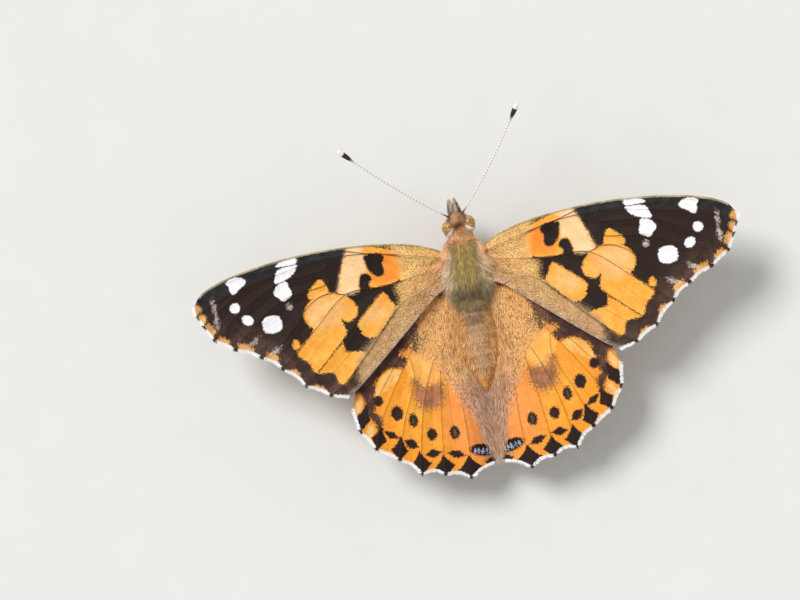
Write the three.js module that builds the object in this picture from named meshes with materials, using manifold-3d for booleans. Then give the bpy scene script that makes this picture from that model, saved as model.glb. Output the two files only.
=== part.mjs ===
// A painted lady butterfly, Vanessa cardui, basking with its wings spread: a still, life-size model.
// Millimetres, +Z up, +Y towards the head, +X to the animal's right.
// It is drawn about the middle of its thorax, and at the end the whole group is moved so that
// the floor under its four walking feet is z = 0 and the middle of its box is x = y = 0.
import * as THREE from "three";
import { ConvexHull } from "three/addons/math/ConvexHull.js";
import { mergeVertices } from "three/addons/utils/BufferGeometryUtils.js";
import Module from "manifold-3d";

const wasm = await Module();
wasm.setup();

// Driving dimensions
const gap = 0.3; // between any two pieces that meet
const bodyHeight = 7.0; // middle of the thorax above the floor
const neckY = 1.9; // cut between head and thorax
const waistY = -5.7; // cut between thorax and abdomen
const headYaw = THREE.MathUtils.degToRad(6.4); // the head looks a little to its left
const headShift = 0.15; // and is set a little to the right
const wingThickness = 0.5;
const wingSlope = 0.14; // rise of both wings for each millimetre outwards
const hingeX = 2.5; // where the slope starts
const forewingRise = 1.1; // forewing plane above the middle of the thorax
const hindwingRise = -0.15; // hindwing plane above the middle of the thorax
const veinLift = 0.2;
const veinHalfWidth = 0.32;
const pleatDepth = 0.1; // how far a cell sags between its veins

// Materials
const finish = (color, roughness) =>
  new THREE.MeshStandardMaterial({ color, roughness, metalness: 0 });
const orange = finish(0xf0913a, 0.75);
const brownFur = finish(0x9a7b4a, 0.95);
const tan = finish(0xb98a4c, 0.9);
const amber = finish(0xa8702a, 0.35);
const shell = finish(0xa39272, 0.7);
const dark = finish(0x2a2119, 0.6);

// A closed three.js geometry as a solid, and a solid as a geometry
function solidOf(geometry) {
  const bare = geometry.index ? geometry.toNonIndexed() : geometry.clone();
  bare.deleteAttribute("normal");
  bare.deleteAttribute("uv");
  const merged = mergeVertices(bare, 1e-5);
  return new wasm.Manifold(
    new wasm.Mesh({
      numProp: 3,
      vertProperties: merged.attributes.position.array,
      triVerts: new Uint32Array(merged.index.array),
    }),
  );
}

function geometryOf(solid) {
  const mesh = solid.getMesh();
  const geometry = new THREE.BufferGeometry();
  geometry.setAttribute("position", new THREE.BufferAttribute(mesh.vertProperties, 3));
  geometry.setIndex(new THREE.BufferAttribute(mesh.triVerts, 1));
  return geometry;
}

// Cuts leave scraps: only the largest closed body is kept
function largest(solid) {
  const bodies = solid.decompose();
  return bodies.reduce((a, b) => (a.volume() > b.volume() ? a : b));
}

function placed(geometry, place) {
  const position = geometry.attributes.position;
  const point = new THREE.Vector3();
  for (let i = 0; i < position.count; i++) {
    point.fromBufferAttribute(position, i);
    const moved = place(point);
    position.setXYZ(i, moved.x, moved.y, moved.z);
  }
  return geometry;
}

function smooth(points, count) {
  return new THREE.SplineCurve(points.map(([x, y]) => new THREE.Vector2(x, y))).getPoints(count);
}

function curveOf(points) {
  return new THREE.CatmullRomCurve3(points.map((p) => new THREE.Vector3(...p)));
}

const smoothstep = (low, high, x) => THREE.MathUtils.smoothstep(x, low, high);

// A round body along +Y from a profile of [radius, y], widened by width, its middle line raised by rise(y)
function trunk({ profile, around, width, rise, grow = 0 }) {
  const middle = (profile[0].y + profile[profile.length - 1].y) / 2;
  const grown = profile.map(
    (p) => new THREE.Vector2(p.x > 0 ? p.x + grow : 0, p.y + Math.sign(p.y - middle) * grow),
  );
  return placed(new THREE.LatheGeometry(grown, around), (p) =>
    p.set(p.x * width, p.y, p.z + rise(p.y)),
  );
}

// A tapering limb along a curve; radii is a list of [share of the length, radius]
function limb({ points, radii, sides = 8, steps = 6, up = [0, 0, 1], grow = 0 }) {
  const curve = curveOf(points);
  const length = curve.getLength();
  const radius = (t) => {
    const next = radii.findIndex(([share]) => share >= t);
    if (next <= 0) return radii[0][1];
    const [[t0, r0], [t1, r1]] = [radii[next - 1], radii[next]];
    return r0 + ((r1 - r0) * (t - t0)) / (t1 - t0);
  };
  const stations = [...Array(steps + 1).keys()].map((i) => i / steps);
  for (const [share] of radii) if (!stations.includes(share)) stations.push(share);
  stations.sort((a, b) => a - b);
  const profile = [new THREE.Vector2(0, -grow)];
  for (const t of stations) {
    const along = t === 0 ? -grow : t === 1 ? length + grow : t * length;
    profile.push(new THREE.Vector2(radius(t) + grow, along));
  }
  profile.push(new THREE.Vector2(0, length + grow));
  const upwards = new THREE.Vector3(...up);
  return placed(new THREE.LatheGeometry(profile, sides), (p) => {
    const t = THREE.MathUtils.clamp(p.y / length, 0, 1);
    const tangent = curve.getTangentAt(t);
    const side = new THREE.Vector3().crossVectors(tangent, upwards).normalize();
    const above = new THREE.Vector3().crossVectors(side, tangent);
    return curve
      .getPointAt(t)
      .addScaledVector(tangent, p.y - t * length)
      .addScaledVector(side, p.x)
      .addScaledVector(above, p.z);
  });
}

function ellipsoid(centre, radii, around, along, grow = 0) {
  const [rx, ry, rz] = radii.map((r) => r + grow);
  return new THREE.SphereGeometry(1, around, along).scale(rx, ry, rz).translate(...centre);
}

// Thorax: a deep egg, flat where the neck and the waist are cut, with a shoulder lobe over each forewing root
const thoraxProfile = smooth(
  [
    [1.45, waistY + gap / 2],
    [2.15, -4.6],
    [2.62, -3.0],
    [2.72, -1.4],
    [2.45, 0.2],
    [1.8, 1.2],
    [0.85, neckY - gap / 2],
  ],
  11,
);
thoraxProfile.unshift(new THREE.Vector2(0, waistY + gap / 2));
thoraxProfile.push(new THREE.Vector2(0, neckY - gap / 2));
const thoraxWidth = 0.96;
const thoraxRise = (y) => bodyHeight - 0.03 * Math.min(0, y) * Math.min(0, y + 2);
const shoulder = { x: 2.0, y: -0.2, z: bodyHeight + 1.4, radii: [0.65, 1.3, 0.5] };

function thoraxSolid(grow = 0) {
  let solid = solidOf(
    trunk({ profile: thoraxProfile, around: 18, width: thoraxWidth, rise: thoraxRise, grow }),
  );
  for (const side of [1, -1])
    solid = solid.add(
      solidOf(
        ellipsoid([side * shoulder.x, shoulder.y, shoulder.z], shoulder.radii, 10, 7, grow),
      ),
    );
  return largest(solid);
}

// Abdomen: seven rings that lap backwards, drooping a little to a blunt tip
const abdomenStart = waistY - gap / 2;
const abdomenLength = 10.5;
const abdomenSegments = 7;
const segmentLap = 0.1;
const abdomenGirth = new THREE.SplineCurve(
  [
    [0, 1.5],
    [0.12, 1.8],
    [0.38, 2.05],
    [0.62, 1.8],
    [0.84, 1.15],
    [1, 0.35],
  ].map(([t, r]) => new THREE.Vector2(t, r)),
);
const abdomenProfile = [new THREE.Vector2(0, abdomenStart - abdomenLength)];
for (let i = abdomenSegments; i >= 1; i--)
  for (const share of [0, -0.12, -0.55]) {
    const t = (i + share) / abdomenSegments;
    const lap = share === 0 ? -0.6 : 0.4;
    abdomenProfile.push(
      new THREE.Vector2(
        abdomenGirth.getPoint(t).y + lap * segmentLap,
        abdomenStart - abdomenLength * t,
      ),
    );
  }
abdomenProfile.push(new THREE.Vector2(abdomenGirth.getPoint(0).y, abdomenStart));
abdomenProfile.push(new THREE.Vector2(0, abdomenStart));
const abdomenRise = (y) =>
  thoraxRise(waistY) - 0.11 * (abdomenStart - y) - 0.004 * (abdomenStart - y) ** 2;

function abdomenSolid(grow = 0) {
  return solidOf(
    trunk({ profile: abdomenProfile, around: 16, width: 0.98, rise: abdomenRise, grow }),
  );
}

// Wings. Each is drawn in plan for the right side: a smooth leading edge, which is a vein itself,
// a margin that is scalloped between the ends of the veins, and a smooth hind edge to the root.
const forewing = {
  leading: [
    [1.2, -0.6],
    [3.2, 0.75],
    [6.3, 1.85],
    [10.3, 2.5],
    [15, 2.8],
    [19.5, 2.7],
    [24, 2.2],
    [28, 1.35],
    [30.6, 0.25],
    [31.9, -1.1],
  ],
  veinEnds: [
    [31.9, -1.1],
    [31.7, -2.45],
    [31.1, -3.7],
    [30.3, -5.4],
    [28.0, -6.95],
    [25.2, -8.35],
    [23.1, -10.05],
    [20.7, -12.5],
    [18.0, -14.05],
    [15.9, -14.45],
  ],
  scallops: [-0.15, 0.08, 0.12, 0.2, 0.32, 0.36, 0.34, 0.26, 0.05],
  hind: [
    [15.9, -14.45],
    [14.6, -13.6],
    [11.3, -10.9],
    [7.3, -7.5],
    [4.4, -5.0],
    [2.6, -3.9],
    [1.2, -3.3],
  ],
  veins: [
    [[2.4, -0.5], [6.5, 0.5], [10.5, 1.15], [15, 1.5], [20, 1.45], [24, 0.95], [27.5, 0.1], [31.1, -1.7]],
    [[18.5, 1.5], [22.3, 0.35], [27.1, -1.3], [31.0, -3.6]],
    [[15.8, 1.5], [16.2, 0.3], [20.8, -0.35], [22.5, -0.8], [26.7, -2.9], [30.1, -5.2]],
    [[16.2, 0.3], [16.4, -0.9], [20.3, -1.7], [24.5, -3.95], [28.0, -6.8]],
    [[16.4, -0.9], [15.6, -2.2], [14.4, -2.7]],
    [[15.6, -2.2], [17.4, -2.4], [19.2, -3.7], [22.4, -6.7], [25.1, -8.2]],
    [[2.4, -1.4], [5.5, -1.9], [9.6, -2.5], [14.4, -2.7], [18.5, -6.1], [23.0, -9.9]],
    [[9.6, -2.5], [13.4, -5.9], [18.7, -10.7], [20.7, -12.4]],
    [[2.5, -2.2], [5.6, -4.1], [10.2, -7.3], [14.2, -11.1], [17.8, -13.9]],
  ],
  surface: (x) =>
    bodyHeight + forewingRise + wingSlope * (x - hingeX) - 0.0012 * Math.max(0, x - 10) ** 2,
};

const foldDepth = 1.5; // the hind edges of the hindwings turn down beside and behind the abdomen
const foldWidth = 1.7;
const hindwing = {
  leading: [
    [1.0, -3.2],
    [3.0, -3.3],
    [6.5, -4.4],
    [9.8, -6.8],
    [12.6, -9.8],
    [14.7, -12.9],
    [15.9, -15.9],
  ],
  veinEnds: [
    [15.9, -15.9],
    [15.55, -18.75],
    [14.05, -21.2],
    [11.6, -22.85],
    [9.25, -25.05],
    [6.5, -25.5],
    [3.6, -26.45],
    [0.55, -25.15],
  ],
  scallops: [0.0, 0.2, 0.2, 0.42, 0.6, 0.5, 0.3],
  hind: [
    [0.55, -25.15],
    [gap / 2, -24.6],
    [gap / 2, -20],
    [gap / 2, -16.0],
    [1.0, -12.5],
    [1.2, -9],
    [1.0, -5.2],
  ],
  veins: [
    [[2.4, -4.0], [6.5, -5.8], [10.6, -9.2], [14, -13.4], [15.6, -17.0]],
    [[2.4, -4.4], [5.6, -7.0], [8.6, -10.0], [12.6, -14.4], [15.3, -18.4]],
    [[6.4, -7.7], [8.2, -10.9], [9.9, -13.6], [12.4, -17.6], [13.9, -21.0]],
    [[8.2, -10.9], [8.0, -12.9], [8.9, -15.6], [10.1, -18.6], [11.4, -22.5]],
    [[8.0, -12.9], [6.2, -12.9], [7.4, -16.4], [8.6, -20.6], [9.1, -24.7]],
    [[2.4, -4.8], [3.6, -7.4], [4.5, -10.4], [6.2, -12.9]],
    [[4.5, -10.4], [5.4, -15.9], [6.0, -20.6], [6.4, -25.1]],
    [[4.1, -9.2], [3.9, -13], [3.4, -19], [3.5, -26.0]],
    [[2.9, -6.4], [2.9, -10], [2.6, -14], [1.7, -20], [1.1, -24.7]],
  ],
  surface: (x, y) =>
    bodyHeight +
    hindwingRise +
    wingSlope * (x - hingeX) -
    foldDepth * Math.exp(-((x / foldWidth) ** 2)) * smoothstep(-7, -13, y),
};

// The margin between two vein ends, bowed inwards by depth at its middle
function scalloped(ends, depths, hollow) {
  const points = [];
  for (let i = 0; i + 1 < ends.length; i++) {
    const [a, b] = [new THREE.Vector2(...ends[i]), new THREE.Vector2(...ends[i + 1])];
    const inwards = new THREE.Vector2(b.y - a.y, a.x - b.x).normalize();
    const steps = Math.max(2, Math.round(a.distanceTo(b) / hollow));
    for (let k = 1; k <= steps; k++) {
      const t = k / steps;
      const bow = 4 * t * (1 - t) * depths[i];
      points.push(a.clone().lerp(b, t).addScaledVector(inwards, bow));
    }
  }
  return points;
}

function evenly(points, spacing) {
  const curve = new THREE.SplineCurve(points.map(([x, y]) => new THREE.Vector2(x, y)));
  return curve.getSpacedPoints(Math.max(1, Math.round(curve.getLength() / spacing)));
}

function inside(point, polygon) {
  let within = false;
  polygon.forEach((a, i) => {
    const b = polygon[(i + 1) % polygon.length];
    if (a.y > point.y !== b.y > point.y)
      if (point.x < ((b.x - a.x) * (point.y - a.y)) / (b.y - a.y) + a.x) within = !within;
  });
  return within;
}

function distanceToLine(point, line) {
  let best = Infinity;
  const nearest = new THREE.Vector3();
  for (let i = 0; i + 1 < line.length; i++) {
    const segment = new THREE.Line3(
      new THREE.Vector3(line[i].x, line[i].y, 0),
      new THREE.Vector3(line[i + 1].x, line[i + 1].y, 0),
    );
    const at = new THREE.Vector3(point.x, point.y, 0);
    segment.closestPointToPoint(at, true, nearest);
    best = Math.min(best, nearest.distanceTo(at));
  }
  return best;
}

// Delaunay triangles of plan points: the underside of the hull of the points raised onto a bowl
function triangulated(points, outline) {
  const bowl = points.map((p, index) => {
    const raised = new THREE.Vector3(p.x, p.y, p.x * p.x + p.y * p.y);
    raised.index = index;
    return raised;
  });
  const hull = new ConvexHull();
  hull.setFromPoints(bowl);
  const triangles = [];
  for (const face of hull.faces) {
    if (face.normal.z > -1e-9) continue;
    const corners = [];
    let edge = face.edge;
    do {
      corners.push(edge.head().point.index);
      edge = edge.next;
    } while (edge !== face.edge);
    const [a, b, c] = corners.map((i) => points[i]);
    const middle = { x: (a.x + b.x + c.x) / 3, y: (a.y + b.y + c.y) / 3 };
    if (inside(middle, outline)) triangles.push(corners.reverse());
  }
  return triangles;
}

// How the points of a wing are spread: the steps along its outline, veins and cells, how far a vein's
// and a cell's points keep from the edge, and how far points keep from one another
const spread = {
  outlineStep: 1.0,
  veinStep: 1.55,
  cellStep: 1.9,
  veinToEdge: 0.42,
  cellToEdge: 0.7,
  betweenCrests: 0.55,
  betweenFeet: 0.5,
  betweenCells: 0.85,
};
const leadingLift = 0.5 * veinLift; // the leading edge is a vein of half height
const tipFade = 0.5; // share of its height that a vein loses by its outer end
const underLift = 0.6; // height of a vein under the wing, as a share of that above
const sagFrom = 0.3; // a cell starts to sag this far from a vein,
const sagTo = 1.2; // and is at its full depth here

// One wing: plan points on its outline, on the crest and the foot of each vein, and in its cells,
// with the same triangles on the upper and the lower face, and walls round every free edge
function wingGeometry(wing) {
  const leading = evenly(wing.leading, spread.outlineStep);
  const margin = scalloped(wing.veinEnds, wing.scallops, spread.outlineStep);
  const hind = evenly(wing.hind, spread.outlineStep * 1.3).slice(1);
  const outline = [...leading, ...margin, ...hind];
  const points = outline.map((p, i) => ({
    x: p.x,
    y: p.y,
    lift: i < leading.length ? leadingLift : 0,
  }));
  const lines = wing.veins.map((vein) => evenly(vein, spread.veinStep));
  const closed = [...outline, outline[0]];
  const clearOf = (p, others, distance) =>
    others.every((q) => Math.hypot(p.x - q.x, p.y - q.y) > distance);
  const usable = (p, fromEdge) =>
    inside(p, outline) && distanceToLine(p, closed) > fromEdge;

  const crests = [];
  for (const line of lines)
    line.forEach((p, i) => {
      const lift = veinLift * (1 - tipFade * (i / line.length));
      const crest = { x: p.x, y: p.y, lift };
      const clear =
        usable(crest, spread.veinToEdge) && clearOf(crest, crests, spread.betweenCrests);
      if (clear) crests.push(crest);
    });
  const feet = [];
  for (const line of lines)
    line.forEach((p, i) => {
      const next = line[Math.min(i + 1, line.length - 1)];
      const last = line[Math.max(i - 1, 0)];
      const along = new THREE.Vector2(next.x - last.x, next.y - last.y).normalize();
      for (const side of [1, -1]) {
        const foot = {
          x: p.x - side * along.y * veinHalfWidth,
          y: p.y + side * along.x * veinHalfWidth,
          lift: 0,
        };
        const clear =
          usable(foot, spread.veinToEdge) &&
          clearOf(foot, feet, spread.betweenFeet) &&
          clearOf(foot, crests, veinHalfWidth * 0.9) &&
          lines.every((other) => distanceToLine(foot, other) > veinHalfWidth * 0.8);
        if (clear) feet.push(foot);
      }
    });
  points.push(...crests, ...feet);
  const box = new THREE.Box2().setFromPoints(outline);
  const step = spread.cellStep;
  for (let row = 0; box.min.y + row * step < box.max.y; row++)
    for (let x = box.min.x + ((row % 2) * step) / 2; x < box.max.x; x += step) {
      const cell = { x, y: box.min.y + row * step, lift: 0 };
      const clear = usable(cell, spread.cellToEdge) && clearOf(cell, points, spread.betweenCells);
      if (clear) points.push(cell);
    }

  const triangles = triangulated(points, outline);
  const sag = (p) => {
    const toVein = Math.min(...lines.map((line) => distanceToLine(p, line)));
    return pleatDepth * smoothstep(sagFrom, sagTo, toVein);
  };
  const heights = points.map((p) => wing.surface(p.x, p.y) - sag(p));
  const upper = points.flatMap((p, i) => [p.x, p.y, heights[i] + p.lift]);
  const lower = points.flatMap((p, i) => [
    p.x,
    p.y,
    heights[i] - wingThickness - underLift * p.lift,
  ]);
  const count = points.length;
  const faces = [];
  const edges = new Map();
  for (const [a, b, c] of triangles) {
    faces.push(a, b, c, a + count, c + count, b + count);
    for (const [p, q] of [[a, b], [b, c], [c, a]]) edges.set(p + "-" + q, [p, q]);
  }
  for (const [p, q] of edges.values())
    if (!edges.has(q + "-" + p)) faces.push(p, p + count, q, q, p + count, q + count);
  const geometry = new THREE.BufferGeometry();
  geometry.setAttribute("position", new THREE.Float32BufferAttribute([...upper, ...lower], 3));
  geometry.setIndex(faces);
  return geometry;
}

// Head, drawn about the neck with +Y forwards, and turned with all that it carries
const eye = { x: 1.22, y: 1.05, z: 0.1, radii: [0.82, 0.98, 1.05] };
const headProfile = smooth(
  [
    [0.75, gap / 2],
    [1.15, 0.55],
    [1.32, 1.2],
    [1.1, 1.95],
    [0.55, 2.4],
  ],
  8,
);
headProfile.unshift(new THREE.Vector2(0, gap / 2));
headProfile.push(new THREE.Vector2(0, 2.5));
const socket = { x: 0.48, y: 0.95, z: 1.0 };
const antennaLength = 16.4;
const antennaSplay = THREE.MathUtils.degToRad(41);
const antennaRaise = THREE.MathUtils.degToRad(18);

function headSolid(grow = 0) {
  return solidOf(
    trunk({ profile: headProfile, around: 18, width: 1.0, rise: () => 0, grow }),
  );
}

function eyeSolid(side, grow = 0) {
  return solidOf(ellipsoid([side * eye.x, eye.y, eye.z], eye.radii, 14, 10, grow));
}

// Antenna of the right side: a thin stalk with a slight outward bow, and a club at its end
function antennaGeometry() {
  const along = [
    Math.cos(antennaRaise) * Math.sin(antennaSplay),
    Math.cos(antennaRaise) * Math.cos(antennaSplay),
    Math.sin(antennaRaise),
  ];
  const bow = 0.35;
  const at = (share, bend) => [
    socket.x + along[0] * antennaLength * share + bend * Math.cos(antennaSplay),
    socket.y + along[1] * antennaLength * share - bend * Math.sin(antennaSplay),
    socket.z + along[2] * antennaLength * share,
  ];
  return limb({
    points: [at(0, 0), at(0.3, bow), at(0.65, bow), at(1, 0)],
    radii: [
      [0, 0.32],
      [0.05, 0.26],
      [0.84, 0.25],
      [0.9, 0.34],
      [0.965, 0.4],
      [1, 0.2],
    ],
    steps: 11,
  });
}

// Palp of the right side: a furred horn that rises in front of the face
const palp = {
  points: [
    [0.5, 1.6, -0.75],
    [0.52, 2.7, -0.7],
    [0.46, 3.8, -0.15],
    [0.36, 5.0, 0.55],
  ],
  radii: [
    [0, 0.3],
    [0.35, 0.4],
    [0.7, 0.3],
    [1, 0.12],
  ],
};

// Proboscis: the tongue, rolled up like a watch spring under the head
const coil = { y: 1.75, z: -2.2, outer: 0.98, inner: 0.3, turns: 1.25 };
function proboscisGeometry() {
  const points = [];
  const stations = 9;
  for (let i = 0; i <= stations; i++) {
    const t = i / stations;
    const angle = Math.PI / 2 + 0.5 - 2 * Math.PI * coil.turns * t;
    const radius = coil.outer + (coil.inner - coil.outer) * t;
    points.push([0, coil.y + radius * Math.cos(angle), coil.z + radius * Math.sin(angle)]);
  }
  return limb({
    points,
    radii: [
      [0, 0.23],
      [1, 0.17],
    ],
    sides: 8,
    steps: 18,
    up: [1, 0, 0],
  });
}

// Legs of the right side. The first pair is small and folded under the breast, as in all brush-footed
// butterflies. The other two pairs stand on the floor, each with a foot that lies flat at its end.
const legRadii = {
  femur: [
    [0, 0.34],
    [0.3, 0.42],
    [1, 0.28],
  ],
  tibia: [
    [0, 0.26],
    [0.4, 0.3],
    [1, 0.27],
  ],
  tarsus: [
    [0, 0.26],
    [1, 0.25],
  ],
};
const sole = 0.16; // height of a foot's middle line over the floor, less than its radius
const legs = {
  mid: {
    hip: [1.1, -0.9, bodyHeight - 2.3],
    knee: [5.0, -0.2, bodyHeight - 1.3],
    ankle: [7.5, 0.3, 1.5],
    heel: [8.4, 0.45, sole],
    toe: [11.0, 0.9, sole],
  },
  hind: {
    hip: [1.0, -3.7, bodyHeight - 2.2],
    knee: [4.1, -7.4, bodyHeight - 1.6],
    ankle: [5.9, -11.4, 1.6],
    heel: [6.3, -12.4, sole],
    toe: [7.4, -15.0, sole],
  },
};
const foreleg = {
  points: [
    [0.8, 0.6, bodyHeight - 2.1],
    [0.85, 1.9, bodyHeight - 2.6],
    [0.8, 3.1, bodyHeight - 2.8],
    [0.65, 4.2, bodyHeight - 2.6],
  ],
  radii: [
    [0, 0.3],
    [0.5, 0.32],
    [1, 0.2],
  ],
};

// Every piece of the model
const model = new THREE.Group();
const head = new THREE.Group();
head.position.set(headShift, neckY, bodyHeight);
head.rotation.z = headYaw;
model.add(head);

function addPiece(parent, name, solid, material, side = 1) {
  const mesh = new THREE.Mesh(geometryOf(largest(solid)), material);
  mesh.name = name;
  mesh.scale.x = side; // the left piece is the right one mirrored
  parent.add(mesh);
}

const sides = { right: 1, left: -1 };
const thoraxGrown = thoraxSolid(gap);
const abdomenGrown = abdomenSolid(gap);
const bodyGrown = thoraxGrown.add(abdomenGrown);
addPiece(model, "thorax", thoraxSolid(), brownFur);
addPiece(model, "abdomen", abdomenSolid(), tan);

const headBare = headSolid();
const headGrown = headSolid(gap);
let skull = headBare;
for (const side of Object.values(sides)) skull = skull.subtract(eyeSolid(side, gap));
addPiece(head, "head", skull, tan);
addPiece(head, "proboscis", solidOf(proboscisGeometry()).subtract(headGrown), dark);
const eyeCut = eyeSolid(1);
const eyesGrown = eyeSolid(1, gap);
const antenna = solidOf(antennaGeometry()).subtract(headGrown).subtract(eyesGrown);
const palpSolid = solidOf(limb({ ...palp, steps: 7 })).subtract(headGrown).subtract(eyesGrown);

const forewingSolid = solidOf(wingGeometry(forewing)).subtract(bodyGrown);
const hindwingSolid = solidOf(wingGeometry(hindwing)).subtract(bodyGrown);
const floorBlock = solidOf(new THREE.BoxGeometry(100, 100, 4).translate(0, 0, -2));
const forelegSolid = solidOf(limb(foreleg)).subtract(thoraxGrown);

for (const [name, side] of Object.entries(sides)) {
  addPiece(head, `eye_${name}`, eyeCut, amber, side);
  addPiece(head, `antenna_${name}`, antenna, shell, side);
  addPiece(head, `palp_${name}`, palpSolid, tan, side);
  addPiece(model, `forewing_${name}`, forewingSolid, orange, side);
  addPiece(model, `hindwing_${name}`, hindwingSolid, orange, side);
  addPiece(model, `foreleg_${name}`, forelegSolid, tan, side);
  for (const [pair, leg] of Object.entries(legs)) {
    const femur = { points: [leg.hip, leg.knee], radii: legRadii.femur, steps: 3 };
    const tibia = { points: [leg.knee, leg.ankle], radii: legRadii.tibia, steps: 3 };
    const tarsus = {
      points: [leg.ankle, leg.heel, leg.toe],
      radii: legRadii.tarsus,
      steps: 7,
    };
    const femurSolid = solidOf(limb(femur)).subtract(thoraxGrown);
    const tibiaSolid = solidOf(limb(tibia)).subtract(solidOf(limb({ ...femur, grow: gap })));
    const tarsusSolid = solidOf(limb(tarsus))
      .subtract(solidOf(limb({ ...tibia, grow: gap })))
      .subtract(floorBlock);
    addPiece(model, `${pair}leg_femur_${name}`, femurSolid, tan, side);
    addPiece(model, `${pair}leg_tibia_${name}`, tibiaSolid, tan, side);
    addPiece(model, `${pair}leg_tarsus_${name}`, tarsusSolid, tan, side);
  }
}

// The middle of the box over the floor becomes the origin
const box = new THREE.Box3().setFromObject(model);
model.position.set(-(box.min.x + box.max.x) / 2, -(box.min.y + box.max.y) / 2, -box.min.z);
const butterfly = new THREE.Group();
butterfly.add(model);

export default butterfly;
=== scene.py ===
import bpy
import math
import numpy as np
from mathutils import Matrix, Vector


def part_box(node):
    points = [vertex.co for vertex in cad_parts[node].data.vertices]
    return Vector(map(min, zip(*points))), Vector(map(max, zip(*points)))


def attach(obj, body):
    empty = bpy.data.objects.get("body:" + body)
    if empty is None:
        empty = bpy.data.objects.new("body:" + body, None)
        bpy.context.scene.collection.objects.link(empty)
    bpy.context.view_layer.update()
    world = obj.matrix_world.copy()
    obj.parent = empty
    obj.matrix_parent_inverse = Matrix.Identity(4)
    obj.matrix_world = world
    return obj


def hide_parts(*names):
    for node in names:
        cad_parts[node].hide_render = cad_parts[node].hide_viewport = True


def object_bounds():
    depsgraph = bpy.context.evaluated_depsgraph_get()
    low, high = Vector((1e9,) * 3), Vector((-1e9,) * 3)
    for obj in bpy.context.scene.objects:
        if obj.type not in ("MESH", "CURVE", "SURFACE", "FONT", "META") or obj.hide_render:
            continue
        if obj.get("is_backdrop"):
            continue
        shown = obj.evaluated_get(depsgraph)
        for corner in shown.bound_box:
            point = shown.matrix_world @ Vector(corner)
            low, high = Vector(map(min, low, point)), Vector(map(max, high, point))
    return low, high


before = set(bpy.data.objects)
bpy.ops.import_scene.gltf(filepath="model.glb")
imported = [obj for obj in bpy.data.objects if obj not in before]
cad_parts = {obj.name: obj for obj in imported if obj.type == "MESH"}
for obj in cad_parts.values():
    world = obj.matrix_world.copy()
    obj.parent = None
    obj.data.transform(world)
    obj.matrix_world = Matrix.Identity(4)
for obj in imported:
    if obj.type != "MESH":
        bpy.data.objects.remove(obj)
cad_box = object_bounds()

# Body: thorax, abdomen, neck and head are one skin of stiff plates over soft folds. The thorax is a deep
# egg with a shoulder lobe over each forewing root, and the abdomen has seven rings that lap backwards.
MM = 0.001
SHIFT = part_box("thorax")[1][1] - 1.75 * MM  # the drawing's origin is 1.75 mm behind the thorax's front
BODY_HEIGHT = 7.0
HEAD_PLACE = np.array([0.15, 1.9, BODY_HEIGHT])
HEAD_TURN = math.radians(6.4)
WAIST = -5.7


def deselect():
    bpy.ops.object.select_all(action="DESELECT")


def put_points(mesh, points):
    """Places the vertices: millimetres about the thorax become metres in the model's frame."""
    moved = np.asarray(points) * MM + (0, SHIFT, 0)
    mesh.vertices.foreach_set("co", moved.astype(np.float32).ravel())
    mesh.update()


def read_points(mesh):
    flat = np.empty(len(mesh.vertices) * 3, np.float32)
    mesh.vertices.foreach_get("co", flat)
    return (flat.reshape(-1, 3).astype(float) - (0, SHIFT, 0)) / MM


def between(value, low, high):
    t = np.clip((value - low) / (high - low), 0, 1)
    return t * t * (3 - 2 * t)


def smooth_path(corners, spacing, closed=False):
    """Points at an even spacing on a smooth curve through the corners."""
    ends = np.array(corners, float)
    if closed:
        ends = np.vstack([ends[-1:], ends, ends[:2]])
    else:
        ends = np.vstack([2 * ends[0] - ends[1], ends, 2 * ends[-1] - ends[-2]])
    fine = []
    for a, b, c, d in zip(ends[:-3], ends[1:-2], ends[2:-1], ends[3:]):
        for t in np.arange(0, 1, 0.125):
            fine.append(b + 0.5 * t * (c - a + t * (2 * a - 5 * b + 4 * c - d + t * (3 * (b - c) + d - a))))
    fine.append(ends[-2])
    fine = np.array(fine)
    along = np.concatenate([[0], np.cumsum(np.linalg.norm(np.diff(fine, axis=0), axis=1))])
    count = max(2, int(round(along[-1] / spacing)) + 1)
    at = np.linspace(0, along[-1], count)
    return np.stack([np.interp(at, along, fine[:, i]) for i in range(fine.shape[1])], axis=1)


def along_path(path, shares):
    """Points at the given shares of a path's length."""
    run = np.concatenate([[0], np.cumsum(np.linalg.norm(np.diff(path, axis=0), axis=1))])
    return np.stack([np.interp(shares * run[-1], run, path[:, i]) for i in range(path.shape[1])], axis=1)


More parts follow.
